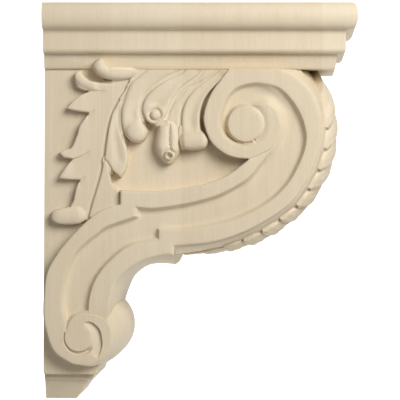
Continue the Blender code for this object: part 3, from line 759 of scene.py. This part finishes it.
def make_backboard():
    """The block behind the scroll, with the foliage carved on both of its sides."""
    front = stretch(CORE_FRONT, step=FLAT_STEP)
    low = front[-1][1]
    boundary = closed([np.array([(-BACK_SPARE, BACKBOARD_TOP), (front[0][0], BACKBOARD_TOP)]), front,
                       np.array([(-BACK_SPARE, low)])])
    outlines = {name: closed([stretch(run) for run in carving.outline]) for name, carving in CARVINGS.items()}
    points, faces = foliage_drawing(boundary, outlines).triangles()
    count = len(points)
    sides = [(b, a, a + count, b + count) for a, b in edge_of(faces)]
    return solid("backboard", np.vstack(both_sides(points, foliage_half_width(points, outlines))),
                 faces.tolist() + (faces[:, ::-1] + count).tolist() + sides)


def scroll_sections():
    """The body's edge at its side faces and at mid width, as two matching closed outlines, and the share of
    the quirk's depth at each of their points."""
    runs = [(stretch(BELLY_SIDE), stretch(BELLY_MID)), (stretch(NECK_SIDE), stretch(NECK_MID)),
            (arc(ROLL_CENTRE_SIDE, ROLL_RADIUS_SIDE, ROLL_TURN_SIDE),
             arc(ROLL_CENTRE_MID, ROLL_RADIUS_MID, ROLL_TURN_MID))]
    runs += [(stretch(edge), stretch(edge)) for edge in (BACK_EDGE, INNER_EDGE, VOLUTE_EDGE)]
    pairs = []
    for side, middle in runs:
        steps = len(side) - 1
        pairs.append((evenly(side, steps), evenly(middle, steps)))
    side_edge, middle_edge, quirk = [], [], []
    for i, ((side, middle), (next_side, next_middle)) in enumerate(zip(pairs, pairs[1:] + pairs[:1])):
        side_edge.append(side)
        middle_edge.append(middle)
        quirk.append(np.sin(math.pi * np.linspace(0, 1, len(side))) ** QUIRK_FADE * (i == 0))
        gap = float(np.linalg.norm(next_side[0] - side[-1]))
        share = np.linspace(0, 1, max(1, round(gap / OUTLINE_STEP)) + 1)[1:-1, None]
        side_edge.append(side[-1] + (next_side[0] - side[-1]) * share)
        middle_edge.append(middle[-1] + (next_middle[0] - middle[-1]) * share)
        quirk.append(np.zeros(len(share)))
    return np.vstack(side_edge), np.vstack(middle_edge), np.concatenate(quirk)


def channel_outline():
    """The sunk channel between the bands, which runs on round the upper eye."""
    upper_eye = arc(UPPER_EYE, UPPER_EYE_RADIUS, UPPER_EYE_TURN)
    lower_eye = arc(LOWER_EYE, LOWER_EYE_RADIUS, (CHANNEL_MEETS_EYE, 0))[:1]
    return closed([stretch(CHANNEL_OUTER), stretch(NECK_CHANNEL_OUTER), stretch(CHANNEL_FOOT), lower_eye,
                   stretch(NECK_CHANNEL_INNER), stretch(CHANNEL_INNER), upper_eye])


def lower_eye_groove():
    """The narrow crescent cut round the lower eye."""
    return closed([arc(EYE_GROOVE_CENTRE, EYE_GROOVE_RADIUS, LOWER_EYE_TURN),
                   arc(LOWER_EYE, LOWER_EYE_RADIUS, LOWER_EYE_TURN[::-1])])


def band_half_width(points, edge, channel, crescent):
    """Half the width of the scroll body at each point of its side face."""
    scroll = sizes("corbel_scroll")
    arris, channel_depth = in_mm(scroll.arris), in_mm(scroll.channel_depth)
    lost = arris * (1 - np.sqrt(1 - (1 - np.clip(depth_in(points, edge) / arris, 0, 1)) ** 2))
    into_channel = depth_in(points, channel)
    floor = sunk(into_channel, channel_depth, CHANNEL_LIP, CHANNEL_WALL, in_mm(scroll.channel_fillet))
    deeper, soft = round_upper_eye(points)
    slow = np.clip(into_channel / SOFT_WALL, 0, 1) ** SOFT_POWER
    floor = (floor + (channel_depth * slow * (2 - slow) - floor) * soft) * deeper
    open_side, curl = lower_eye_curl(points)
    cut = sunk(depth_in(points, crescent), in_mm(scroll.eye_groove_depth), *CRESCENT_WALLS) * (1 - open_side)
    sunken = np.maximum.reduce([lost, floor, cut, curl, upper_eye_groove(points), below_eye_rings(points)])
    return in_mm(HALF_WIDTH - scroll.band_set) - sunken


def around(points, eye):
    """Each point's distance from an eye's centre and its angle in degrees, which grows clockwise as drawn."""
    away = points - np.array(eye)
    return np.linalg.norm(away, axis=1), np.degrees(np.arctan2(away[:, 1], away[:, 0]))


def round_eye(points, eye, line):
    """Each point's distance from an eye's centre and the line's there, and its share of the turn along it."""
    radius, angle = around(points, eye)
    line_radius, line_angle = around(stretch(line), eye)
    share = (angle - line_angle[0]) / (line_angle[-1] - line_angle[0])
    return radius, np.interp(angle, line_angle, line_radius), np.clip(share, 0, 1)


def lower_eye_curl(points):
    """How open the lower eye's right side is at each point, and the depth of the wide groove that slopes down
    there from the eye to the wall of the outer ring."""
    radius, wall, turn = round_eye(points, LOWER_EYE, LOWER_GROOVE_WALL)
    open_side = np.sin(math.pi * turn) ** CURL_FADE
    across = np.clip((radius - LOWER_EYE_RADIUS + CURL_LIP) / np.maximum(wall - LOWER_EYE_RADIUS, 1), 0, 1)
    to_wall = np.clip((wall + CURL_WALL - radius) / (2 * CURL_WALL), 0, 1)
    depth = in_mm(sizes("corbel_scroll").eye_groove_depth)
    return open_side, depth * open_side * np.sin(math.pi / 2 * across) ** CURL_HOLLOW * to_wall


def below_eye_rings(points):
    """The shallow steps by which each eye's outer ring stands over the band that runs into it."""
    steps = []
    for eye, line, height in ((LOWER_EYE, LOWER_SPIRAL, LOWER_STEP), (UPPER_EYE, UPPER_SPIRAL, UPPER_STEP)):
        radius, ring_edge, turn = round_eye(points, eye, line)
        beyond = radius - ring_edge
        step = np.clip(beyond / STEP_RUN, 0, 1) * np.exp(-np.maximum(beyond, 0) / STEP_REACH)
        steps.append(height * step * np.sin(math.pi * turn) ** STEP_FADE)
    return np.maximum(*steps)


def round_upper_eye(points):
    """How deep the narrow part of the channel round the upper eye is cut, as a factor, and how soft the
    channel's wall is where it runs into the ring on the eye's right."""
    radius, angle = around(points, UPPER_EYE)
    turn = (angle - NARROW_ANGLE + 180) % 360 - 180
    outwards = np.clip(1 - (radius - UPPER_EYE_RADIUS) / NARROW_REACH, 0, 1)
    narrow = np.exp(-(turn / NARROW_SPREAD) ** 2) * outwards
    soft = (np.clip((angle - SOFT_TURN[0]) / SOFT_TURN_FADES[0], 0, 1)
            * np.clip((SOFT_TURN[1] - angle) / SOFT_TURN_FADES[1], 0, 1)
            * np.clip((SOFT_REACH - radius) / SOFT_REACH_FADE, 0, 1))
    return 1 + NARROW_EXTRA * narrow, soft


def upper_eye_groove(points):
    """The groove round the right of the upper eye, which runs out as it leaves the channel."""
    radius, angle = around(points, UPPER_EYE)
    start, end = GROOVE_TURN
    share = np.clip((angle - start) / (end - start), 0, 1)
    depth = GROOVE_DEPTH - GROOVE_EASE * np.sin(math.pi * share)
    across = radius - UPPER_EYE_RADIUS
    away = np.where(across < 0, -across / GROOVE_RUNS[0], across / GROOVE_RUNS[1])
    return np.where((angle > start) & (angle < end), depth * eased(np.clip(1 - away, 0, 1)), 0)


def swelling_front():
    """The scroll's edge at each place across its width, as rings that match, from one side to the other."""
    scroll = sizes("corbel_scroll")
    side_edge, middle_edge, quirk = scroll_sections()
    inward = side_edge - middle_edge
    inward = inward / np.maximum(np.linalg.norm(inward, axis=1), 1)[:, None]
    half = in_mm(HALF_WIDTH - scroll.band_set - scroll.arris)
    from_edge = np.concatenate([QUIRK_PLACES, np.linspace(QUIRK_PLACES[-1], 0, scroll.slices // 2)[1:]])
    rings = []
    for place in np.concatenate([-from_edge, from_edge[-2::-1]]):
        swell = 1 - abs(place) ** scroll.cushion_power
        sinking = in_mm(scroll.quirk) * math.exp(-((abs(place) - QUIRK_CENTRE) / QUIRK_SPREAD) ** 2) * quirk
        sinking *= abs(place) < 1
        edge = side_edge + (middle_edge - side_edge) * swell + inward * sinking[:, None]
        rings.append(np.stack([edge[:, 0], np.full(len(edge), place * half), edge[:, 1]], 1))
    return rings


def band_drawing(edge, channel, crescent):
    """The points and lines on the scroll's side face: fine at the channel and the eyes, coarse elsewhere."""
    drawing = Drawing(edge)
    drawing.add_rings(edge, EDGE_RINGS)
    drawing.add_rings(channel, CHANNEL_RINGS)
    drawing.add_rings(crescent, GROOVE_RINGS)
    for beyond in UPPER_EYE_RINGS:
        run = arc(UPPER_EYE, UPPER_EYE_RADIUS + beyond, UPPER_EYE_RINGS_TURN)
        drawing.add_line(run, np.abs(depth_in(run, channel)) > UPPER_EYE_RINGS_CLEAR, is_closed=False)
    for eye, points, sides in ((LOWER_EYE, LOWER_GROOVE_WALL, WALL_LINES),
                               (LOWER_EYE, LOWER_SPIRAL, SPIRAL_LINES),
                               (UPPER_EYE, UPPER_SPIRAL, SPIRAL_LINES)):
        line = stretch(points)
        out = line - eye
        for side in sides:
            run = line + out * side / np.linalg.norm(out, axis=1)[:, None]
            drawing.add_line(run, depth_in(run, edge) > LINE_CLEAR, is_closed=False)

    def on_bands(grid):
        clear = depth_in(grid, edge) > EDGE_RINGS[-1] + CARVING_STEP / 2
        for outline, insets in ((channel, CHANNEL_RINGS), (crescent, GROOVE_RINGS)):
            depth = depth_in(grid, outline)
            clear &= (depth < insets[0] - LINE_CLEAR) | (depth > insets[-1] + LINE_CLEAR)
        return clear

    drawing.add_grid(BAND_STEP, on_bands)
    return drawing


def make_scroll_body():
    """The scroll body: a swelling front lofted across the width, closed by its two carved side faces."""
    rings = swelling_front()
    edge, channel, crescent = scroll_sections()[0], channel_outline(), lower_eye_groove()
    points, faces = band_drawing(edge, channel, crescent).triangles()
    carved_sides = both_sides(points, band_half_width(points, edge, channel, crescent))
    start = len(edge) * len(rings)
    body = solid("scroll_body", np.vstack(rings + carved_sides), ring_faces(len(rings) - 1, len(edge))
                 + (faces + start).tolist() + (faces[:, ::-1] + start + len(points)).tolist())
    necking = necking_half_width()
    for low, high in ((-in_mm(HALF_WIDTH), -necking), (necking, in_mm(HALF_WIDTH))):
        cut = block("crown_cut", (-BACK_SPARE, low, 0), (in_mm(PROJECTION), high, SCROLL_TOP))
        join(body, cut, "DIFFERENCE")
    return body


def along_edge(path, share):
    """Points at shares of the way along an evenly divided curve."""
    place = np.clip(share, 0, 1) * (len(path) - 1)
    start = np.minimum(place.astype(int), len(path) - 2)
    part = (place - start)[..., None]
    return path[start] * (1 - part) + path[start + 1] * part


def front_leaf_face(share, across):
    """Half width, in millimetres, and rise of the front leaf at shares of its length and width."""
    leaf = sizes("corbel_front_leaf")
    lobed = np.clip((share - leaf.plain_top) / (1 - leaf.plain_top), 0, 1)
    wave = np.where(lobed < 1, leaf.lobes * lobed % 1, 1)
    tongue = np.sin(math.pi / 2 * np.clip(wave / LOBE_SHOULDER, 0, 1))
    tip = np.sqrt(1 - (TIP_SHARE * share) ** TIP_POWER)
    half_width = in_mm(leaf.half_width) * tip * (1 - leaf.notch * (1 - tongue))
    toward_edge = np.abs(across)
    quiet = np.clip((share - QUIET_START) / QUIET_RUN, 0, 1) * np.exp(-(across / QUIET_WIDTH) ** QUIET_POWER)
    tooth = wave ** LAP_GROWTH * (1 - wave ** LAP_DROP) * (lobed > 0)
    rise = in_mm(leaf.rise) + in_mm(leaf.lap) * tooth * (1 - QUIET_SHARE * quiet)
    for place in VEIN_PLACES:
        vein = np.clip(toward_edge / VEIN_START, 0, 1) * np.exp(-((wave - place) / VEIN_WIDTH) ** 2)
        rise -= in_mm(leaf.vein_depth) * vein
    rise *= 1 - EDGE_FALL * toward_edge ** EDGE_FALL_POWER
    rib = toward_edge / MIDRIB_WIDTH
    midrib = in_mm(leaf.rise) + in_mm(leaf.midrib_rise) * (1 - rib ** 2)
    hollow = HOLLOW_DEPTH * np.exp(-((rib - HOLLOW_PLACE) / HOLLOW_WIDTH) ** 2)
    rise = np.where(rib < 1, midrib, rise - hollow)
    top = 1 + TOP_SWELL * np.clip(1 - share / TOP_RUN, 0, 1)
    foot = 1 - FOOT_FALL * eased(np.clip((share - FOOT_START) / (1 - FOOT_START), 0, 1))
    return half_width, rise * top * foot


def make_front_leaf():
    """The leaf that lies over the belly, with lobes that lap down both of its edges."""
    leaf, scroll = sizes("corbel_front_leaf"), sizes("corbel_scroll")
    paths = [evenly(stretch(edge, step=LEAF_STEP), LEAF_PATH_STEPS) for edge in (BELLY_SIDE, BELLY_MID)]
    rows, columns = leaf.lobes * LOBE_ROWS, LEAF_COLUMNS
    share = np.repeat(np.linspace(0, 1, rows + 1)[:, None], columns + 1, axis=1)
    across = np.repeat(np.sin(np.linspace(-math.pi / 2, math.pi / 2, columns + 1))[None, :], rows + 1, axis=0)
    half_width, rise = front_leaf_face(share, across)
    swept = share + leaf.sweep * across ** 2 * (1 - share)
    place = LEAF_START + LEAF_RUN * swept
    y = across * half_width
    swell = 1 - np.abs(y / in_mm(HALF_WIDTH - scroll.band_set)) ** scroll.cushion_power
    skin = along_edge(paths[0], place)
    skin += (along_edge(paths[1], place) - skin) * swell[..., None]
    run = along_edge(paths[1], place + LEAF_TURN) - along_edge(paths[1], place - LEAF_TURN)
    outward = np.stack([run[..., 1], -run[..., 0]], -1) / np.linalg.norm(run, axis=-1)[..., None]
    face = skin + outward * rise[..., None]
    foot = skin - outward * in_mm(leaf.root)
    upper = np.stack([face[..., 0], y, face[..., 1]], -1)
    lower = np.stack([foot[..., 0], y, foot[..., 1]], -1)[:, ::-(columns // ROOT_COLUMNS)]
    rings = np.concatenate([upper, lower], axis=1)
    width = rings.shape[1]
    ends = [tuple(range(width)), tuple(range(rows * width, (rows + 1) * width))]
    return solid("front_leaf", rings.reshape(-1, 3), ring_faces(rows, width) + ends)


def add(tree, kind, inputs=(), **settings):
    """A node with its settings made and its inputs set or linked."""
    node = tree.nodes.new(kind)
    for name, value in settings.items():
        setattr(node, name, value)
    for socket, value in dict(inputs).items():
        if isinstance(value, bpy.types.NodeSocket):
            tree.links.new(value, node.inputs[socket])
        else:
            node.inputs[socket].default_value = value
    return node


def arithmetic(tree, operation, *values):
    """The outcome of one step of arithmetic on numbers and sockets."""
    return add(tree, "ShaderNodeMath", enumerate(values), operation=operation).outputs[0]


def mitred_moulding_tree():
    """A level moulding that turns two mitred corners, from a profile whose points give its reach, its half
    width and its height."""
    tree = bpy.data.node_groups.new("Mitred Moulding", "GeometryNodeTree")
    for name, kind in (("Profile", "Object"), ("Back", "Float"), ("Wood", "Material")):
        tree.interface.new_socket(name, in_out="INPUT", socket_type="NodeSocket" + kind)
    tree.interface.new_socket("Moulding", in_out="OUTPUT", socket_type="NodeSocketGeometry")
    given = add(tree, "NodeGroupInput")
    profile = add(tree, "GeometryNodeObjectInfo", {"Object": given.outputs["Profile"]})
    amount = add(tree, "GeometryNodeAttributeDomainSize", {"Geometry": profile.outputs["Geometry"]})
    last = arithmetic(tree, "SUBTRACT", amount.outputs["Point Count"], 1.0)
    column = add(tree, "GeometryNodeMeshCylinder", {"Vertices": 4, "Side Segments": last,
                                                    "Radius": 1.0, "Depth": 1.0})
    turned = add(tree, "GeometryNodeTransform", {"Geometry": column.outputs["Mesh"],
                                                 "Rotation": (0, 0, math.radians(45))})
    position = add(tree, "GeometryNodeInputPosition")
    corner = add(tree, "ShaderNodeSeparateXYZ", {0: position.outputs[0]})
    down = add(tree, "ShaderNodeMapRange", {"Value": corner.outputs["Z"], "From Min": 0.5, "From Max": -0.5,
                                            "To Min": 0.0, "To Max": last})
    row = arithmetic(tree, "ROUND", down.outputs[0])
    member = add(tree, "GeometryNodeSampleIndex", {"Geometry": profile.outputs["Geometry"],
                                                   "Value": position.outputs[0], "Index": row},
                 data_type="FLOAT_VECTOR")
    measured = add(tree, "ShaderNodeSeparateXYZ", {0: member.outputs[0]})
    is_front = arithmetic(tree, "GREATER_THAN", corner.outputs["X"], 0.0)
    behind = arithmetic(tree, "MULTIPLY", given.outputs["Back"], -1.0)
    out = add(tree, "GeometryNodeSwitch", {"Switch": is_front, "False": behind,
                                           "True": measured.outputs["X"]}, input_type="FLOAT")
    side = arithmetic(tree, "SIGN", corner.outputs["Y"])
    across = arithmetic(tree, "MULTIPLY", side, measured.outputs["Y"])
    place = add(tree, "ShaderNodeCombineXYZ", {"X": out.outputs[0], "Y": across,
                                               "Z": measured.outputs["Z"]})
    placed = add(tree, "GeometryNodeSetPosition", {"Geometry": turned.outputs[0],
                                                   "Position": place.outputs[0]})
    real = add(tree, "GeometryNodeRealizeInstances", {0: placed.outputs[0]})
    dressed = add(tree, "GeometryNodeSetMaterial", {"Geometry": real.outputs[0],
                                                    "Material": given.outputs["Wood"]})
    add(tree, "NodeGroupOutput", {"Moulding": dressed.outputs[0]})
    return tree


def mitred_moulding(name, profile):
    """A solid moulding turned round the block, from (reach, half width, height) points in metres."""
    guide_mesh = bpy.data.meshes.new(name + "_profile")
    guide_mesh.from_pydata(profile, [], [])
    guide = bpy.data.objects.new(name + "_profile", guide_mesh)
    bpy.context.scene.collection.objects.link(guide)
    obj = bpy.data.objects.new(name, bpy.data.meshes.new(name))
    bpy.context.scene.collection.objects.link(obj)
    tree = bpy.data.node_groups.get("Mitred Moulding") or mitred_moulding_tree()
    modifier = obj.modifiers.new("Moulding", "NODES")
    modifier.node_group = tree
    sockets = {item.name: item.identifier for item in tree.interface.items_tree}
    modifier[sockets["Profile"]] = guide
    modifier[sockets["Back"]] = BACK_SPARE * MM
    modifier[sockets["Wood"]] = carved_wood()
    sanded = obj.modifiers.new("Sanded Edges", "BEVEL")
    sanded.width = sizes("corbel_crown").arris
    sanded.segments = 2
    sanded.angle_limit = math.radians(SANDED_ANGLE)
    plain_mesh(obj)
    bpy.data.objects.remove(guide)
    return obj


def plain_mesh(obj):
    """Puts what the modifiers make of an object into its mesh, and takes them off."""
    bpy.context.view_layer.update()
    made = bpy.data.meshes.new_from_object(obj.evaluated_get(bpy.context.evaluated_depsgraph_get()))
    obj.modifiers.clear()
    obj.data = made
    made.name = obj.name


def crown_profile():
    """Points down the crown moulding: torus, fascia, rounding and necking."""
    crown = sizes("corbel_crown")
    half = crown.torus_height / 2
    inset = []
    for i in range(TORUS_STEPS + 1):
        angle = math.pi * (i / TORUS_STEPS - 0.5)
        edge = crown.torus_top_set if angle < 0 else crown.torus_foot_set
        inset.append((edge * (1 - math.cos(angle)), half + half * math.sin(angle)))
    fascia_end = crown.torus_height + crown.fascia_height
    inset.append((crown.fascia_set, crown.torus_height + FASCIA_SLOPE))
    for angle in quarter_turn(ROUNDING_STEPS):
        inset.append((crown.fascia_set + crown.fascia_round_in * (1 - math.cos(angle)),
                      fascia_end + crown.fascia_round * math.sin(angle)))
    necking_top = fascia_end + crown.fascia_round
    necking_end = necking_top + crown.necking_height
    inset += [(crown.necking_set, necking_top + NECKING_SLOPE),
              (crown.necking_set + crown.necking_splay / 2, necking_end - crown.necking_splay),
              (crown.necking_set + crown.necking_splay, necking_end)]
    return [(PROJECTION - inward, HALF_WIDTH - inward, TOP - down) for inward, down in inset]


def foot_profile():
    """Points down the foot: a square cap, a hollow and a tapered end."""
    foot = sizes("corbel_foot")
    low = TOP - HEIGHT
    cap_foot = low + foot.taper_height + foot.cove_height
    cap_top = cap_foot + foot.cap_face
    half_width, reach = HALF_WIDTH - foot.cap_set, foot.cap_reach
    points = [(reach, half_width, cap_top + FOOT_OVERLAP), (reach, half_width, cap_top)]
    reach -= foot.cap_splay
    points.append((reach, half_width, cap_foot))
    half_width, reach = half_width - foot.cap_overhang, reach - foot.cap_overhang
    for angle in quarter_turn(ROUNDING_STEPS):
        inward = math.sin(angle)
        points.append((reach + (foot.taper_reach - reach) * inward,
                       half_width + (HALF_WIDTH - foot.taper_set - half_width) * inward,
                       cap_foot - CAP_SLOPE - (foot.cove_height - CAP_SLOPE) * (1 - math.cos(angle))))
    return points + [(foot.end_reach, HALF_WIDTH - foot.end_set, low)]


def streaks(tree, place, width, height, detail, roughness=0.5):
    """Noise in streaks of a width and a height in millimetres that run up the block."""
    cells = (1 / (width * MM), 1 / (width * MM), 1 / (height * MM))
    scaled = add(tree, "ShaderNodeMapping", {"Vector": place.outputs["Object"], "Scale": cells})
    return add(tree, "ShaderNodeTexNoise", {"Vector": scaled.outputs[0], "Scale": 1.0, "Detail": detail,
                                            "Roughness": roughness}).outputs[0]


def carved_wood():
    """Pale close-grained hardwood, carved and sanded but not finished: fine upright fibres, short pores and
    boards of slightly different tone, with only a dull sheen."""
    wood = bpy.data.materials.get("sanded_pale_hardwood")
    if wood:
        return wood
    look = sizes("corbel_wood")
    wood = bpy.data.materials.new("sanded_pale_hardwood")
    wood.use_nodes = True
    tree = wood.node_tree
    tree.nodes.clear()
    place = add(tree, "ShaderNodeTexCoord")
    # Fibres about 1.2 mm wide that run some 60 mm up the block
    fibres = streaks(tree, place, 1.22, 59, detail=3.0, roughness=0.6)
    # Growth bands, 9 mm wide and nearly straight
    bands = streaks(tree, place, 9.1, 312, detail=2.0)
    # Pores 0.5 mm wide and 5 mm long, drawn a little coarser than they are so that they show
    pores = streaks(tree, place, 0.526, 5.26, detail=1.0)
    pore_marks = add(tree, "ShaderNodeMapRange", {"Value": pores, "From Min": 0.6, "From Max": 0.76,
                                                  "To Min": 0.0, "To Max": 0.3}).outputs[0]
    out = add(tree, "ShaderNodeSeparateXYZ", {0: place.outputs["Object"]})
    board = arithmetic(tree, "FLOOR", arithmetic(tree, "MULTIPLY", out.outputs["X"], 1 / look.board_width))
    tone = add(tree, "ShaderNodeTexWhiteNoise", {"W": board}, noise_dimensions="1D")
    figure = arithmetic(tree, "MULTIPLY", fibres, 0.55)
    figure = arithmetic(tree, "MULTIPLY_ADD", bands, 0.35, figure)
    figure = arithmetic(tree, "MULTIPLY_ADD", tone.outputs[0], 0.22, figure)
    colour = add(tree, "ShaderNodeValToRGB", {"Fac": figure})
    colour.color_ramp.elements[0].position = 0.3
    colour.color_ramp.elements[0].color = (*look.pale, 1)
    colour.color_ramp.elements[1].position = 0.85
    colour.color_ramp.elements[1].color = (*look.deep, 1)
    with_pores = add(tree, "ShaderNodeMix", {"Factor": pore_marks, "A": colour.outputs[0],
                                             "B": (*[0.8 * share for share in look.deep], 1)},
                     data_type="RGBA")
    relief = arithmetic(tree, "MULTIPLY_ADD", pore_marks, -0.5, fibres)
    bump = add(tree, "ShaderNodeBump", {"Height": relief, "Strength": 0.08, "Distance": 0.0003})
    surface = add(tree, "ShaderNodeBsdfPrincipled", {"Base Color": with_pores.outputs["Result"],
                                                     "Roughness": look.roughness, "Metallic": 0.0, "IOR": 1.5,
                                                     "Specular IOR Level": 0.35, "Normal": bump.outputs[0]})
    add(tree, "ShaderNodeOutputMaterial", {"Surface": surface.outputs[0]})
    return wood


def join(whole, other, operation="UNION"):
    """Unites two closed meshes, or cuts the second from the first."""
    modifier = whole.modifiers.new(other.name, "BOOLEAN")
    modifier.operation = operation
    modifier.object = other
    modifier.solver = "MANIFOLD"
    plain_mesh(whole)
    bpy.data.objects.remove(other)


def named(name):
    """A piece that an earlier step has made."""
    piece = bpy.data.objects.get(name)
    if piece is None:
        raise RuntimeError(f"Make {name} first")
    return piece


def light(name, place, aim, size, power):
    """A square soft light that looks at a point."""
    lamp = bpy.data.lights.new(name, "AREA")
    lamp.size = size
    lamp.energy = power
    holder = bpy.data.objects.new(name, lamp)
    holder.location = place
    holder.rotation_euler = (Vector(aim) - Vector(place)).to_track_quat("-Z", "Y").to_euler()
    bpy.context.scene.collection.objects.link(holder)


class MakeMouldings(bpy.types.Operator):
    """Make the crown and the foot as mitred mouldings"""
    bl_idname = "corbel.make_mouldings"
    bl_label = "Crown and Foot"

    def execute(self, context):
        mitred_moulding("crown", crown_profile())
        mitred_moulding("foot", foot_profile())
        return {"FINISHED"}


class MakeScrollBody(bpy.types.Operator):
    """Make the scroll body with its channels and eyes"""
    bl_idname = "corbel.make_scroll_body"
    bl_label = "Scroll Body"

    def execute(self, context):
        make_scroll_body()
        return {"FINISHED"}


class MakeBackboard(bpy.types.Operator):
    """Make the block behind the scroll with its carved foliage"""
    bl_idname = "corbel.make_backboard"
    bl_label = "Side Foliage"

    def execute(self, context):
        make_backboard()
        return {"FINISHED"}


class MakeFrontLeaf(bpy.types.Operator):
    """Make the leaf that lies over the belly"""
    bl_idname = "corbel.make_front_leaf"
    bl_label = "Front Leaf"

    def execute(self, context):
        make_front_leaf()
        return {"FINISHED"}


class FinishCorbel(bpy.types.Operator):
    """Join the shapes into one carved piece, saw its back flat and give it its wood"""
    bl_idname = "corbel.finish"
    bl_label = "Join and Finish"

    def execute(self, context):
        corbel = named("backboard")
        for name in ("scroll_body", "front_leaf", "crown", "foot"):
            join(corbel, named(name))
        half, low = in_mm(HALF_WIDTH) + BACK_SPARE, in_mm(HEIGHT) + BACK_SPARE
        behind = block("saw", (-2 * BACK_SPARE, -half, -BACK_SPARE), (0, half, low))
        join(corbel, behind, "DIFFERENCE")
        corbel.name = corbel.data.name = "carved_corbel"
        corbel.data.materials.clear()
        corbel.data.materials.append(carved_wood())
        corbel.data.polygons.foreach_set("material_index", [0] * len(corbel.data.polygons))
        corbel.data.shade_smooth()
        corbel.data.set_sharp_from_angle(angle=math.radians(CRISP_ANGLE))
        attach(corbel, "root")
        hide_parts(NODE)
        return {"FINISHED"}


class SetStage(bpy.types.Operator):
    """Set the pale floor, the soft light and the camera"""
    bl_idname = "corbel.set_stage"
    bl_label = "Stage"

    def execute(self, context):
        stage = sizes("corbel_stage")
        make_backdrop(stage)
        powers = (stage.key_power, stage.fill_power, stage.backdrop_power)
        for (name, (place, aim, size)), power in zip(LIGHTS.items(), powers):
            light(name, place, aim, size, power)
        context.scene.view_settings.view_transform = "Standard"
        world = bpy.data.worlds.new("white_surround")
        world.use_nodes = True
        surround = world.node_tree.nodes["Background"]
        surround.inputs["Color"].default_value = (1, 1, 1, 1)
        surround.inputs["Strength"].default_value = stage.sky
        context.scene.world = world
        camera = bpy.data.objects.new("camera", bpy.data.cameras.new("camera"))
        look = (Vector(CAMERA_AIM) - Vector(CAMERA_PLACE)).to_track_quat("-Z", "Y")
        camera.matrix_world = (Matrix.Translation(CAMERA_PLACE) @ look.to_matrix().to_4x4()
                               @ Matrix.Rotation(math.radians(CAMERA_ROLL), 4, "Z"))
        camera.data.lens = stage.lens
        camera.data.sensor_width = SENSOR_WIDTH
        camera.data.clip_end = SIGHT
        context.scene.collection.objects.link(camera)
        context.scene.camera = camera
        return {"FINISHED"}


def make_backdrop(stage):
    """A floor that curves up into a backdrop behind the piece."""
    profile = [(-FLOOR_REACH, 0.0)]
    profile += [(FLOOR_END + BACKDROP_RADIUS * math.sin(angle), BACKDROP_RADIUS * (1 - math.cos(angle)))
                for angle in quarter_turn(BACKDROP_STEPS)]
    profile.append((FLOOR_END + BACKDROP_RADIUS, BACKDROP_HEIGHT))
    low = LOW.z - stage.floor_drop
    rows = [[(x, y, low + z) for x in (-FLOOR_REACH, FLOOR_REACH)] for y, z in profile]
    points = [point for row in rows for point in row]
    faces = [(2 * i, 2 * i + 1, 2 * i + 3, 2 * i + 2) for i in range(len(rows) - 1)]
    mesh = bpy.data.meshes.new("backdrop")
    mesh.from_pydata(points, [], faces)
    mesh.shade_smooth()
    backdrop = bpy.data.objects.new("backdrop", mesh)
    bpy.context.scene.collection.objects.link(backdrop)
    mesh.materials.append(matt_paper(stage.floor_colour))


def matt_paper(colour):
    """Plain matt backdrop paper: one even, very pale tone with no sheen."""
    paper = bpy.data.materials.new("matt_backdrop_paper")
    paper.use_nodes = True
    tree = paper.node_tree
    tree.nodes.clear()
    surface = add(tree, "ShaderNodeBsdfPrincipled", {"Base Color": (*colour, 1), "Roughness": 0.95,
                                                     "Metallic": 0.0, "IOR": 1.45})
    add(tree, "ShaderNodeOutputMaterial", {"Surface": surface.outputs[0]})
    return paper


class CorbelPanel(bpy.types.Panel):
    bl_idname = "VIEW3D_PT_carved_corbel"
    bl_label = "Carved Corbel"
    bl_space_type = "VIEW_3D"
    bl_region_type = "UI"
    bl_category = "Corbel"

    def draw(self, context):
        for operator, group in STEPS:
            box = self.layout.box()
            box.operator(operator.bl_idname)
            for name in group:
                settings = getattr(context.scene, name)
                for size in settings.bl_rna.properties:
                    if not size.is_readonly and size.identifier != "name":
                        box.prop(settings, size.identifier)


GROUPS = {"corbel_crown": CrownSizes, "corbel_foot": FootSizes, "corbel_scroll": ScrollSizes,
          "corbel_foliage": FoliageSizes, "corbel_front_leaf": FrontLeafSizes, "corbel_wood": WoodLook,
          "corbel_stage": StageSetup}
STEPS = ((MakeMouldings, ("corbel_crown", "corbel_foot")), (MakeScrollBody, ("corbel_scroll",)),
         (MakeBackboard, ("corbel_foliage",)), (MakeFrontLeaf, ("corbel_front_leaf",)),
         (FinishCorbel, ("corbel_wood",)), (SetStage, ("corbel_stage",)))


def register():
    for kind in [*GROUPS.values(), *(operator for operator, _ in STEPS), CorbelPanel]:
        bpy.utils.register_class(kind)
    for name, group in GROUPS.items():
        setattr(bpy.types.Scene, name, PointerProperty(type=group))


def unregister():
    for name in GROUPS:
        delattr(bpy.types.Scene, name)
    for kind in [CorbelPanel, *(operator for operator, _ in STEPS), *GROUPS.values()]:
        bpy.utils.unregister_class(kind)


def main():
    register()
    bpy.ops.corbel.make_mouldings()
    bpy.ops.corbel.make_scroll_body()
    bpy.ops.corbel.make_backboard()
    bpy.ops.corbel.make_front_leaf()
    bpy.ops.corbel.finish()
    bpy.ops.corbel.set_stage()


if __name__ == "__main__":
    main()
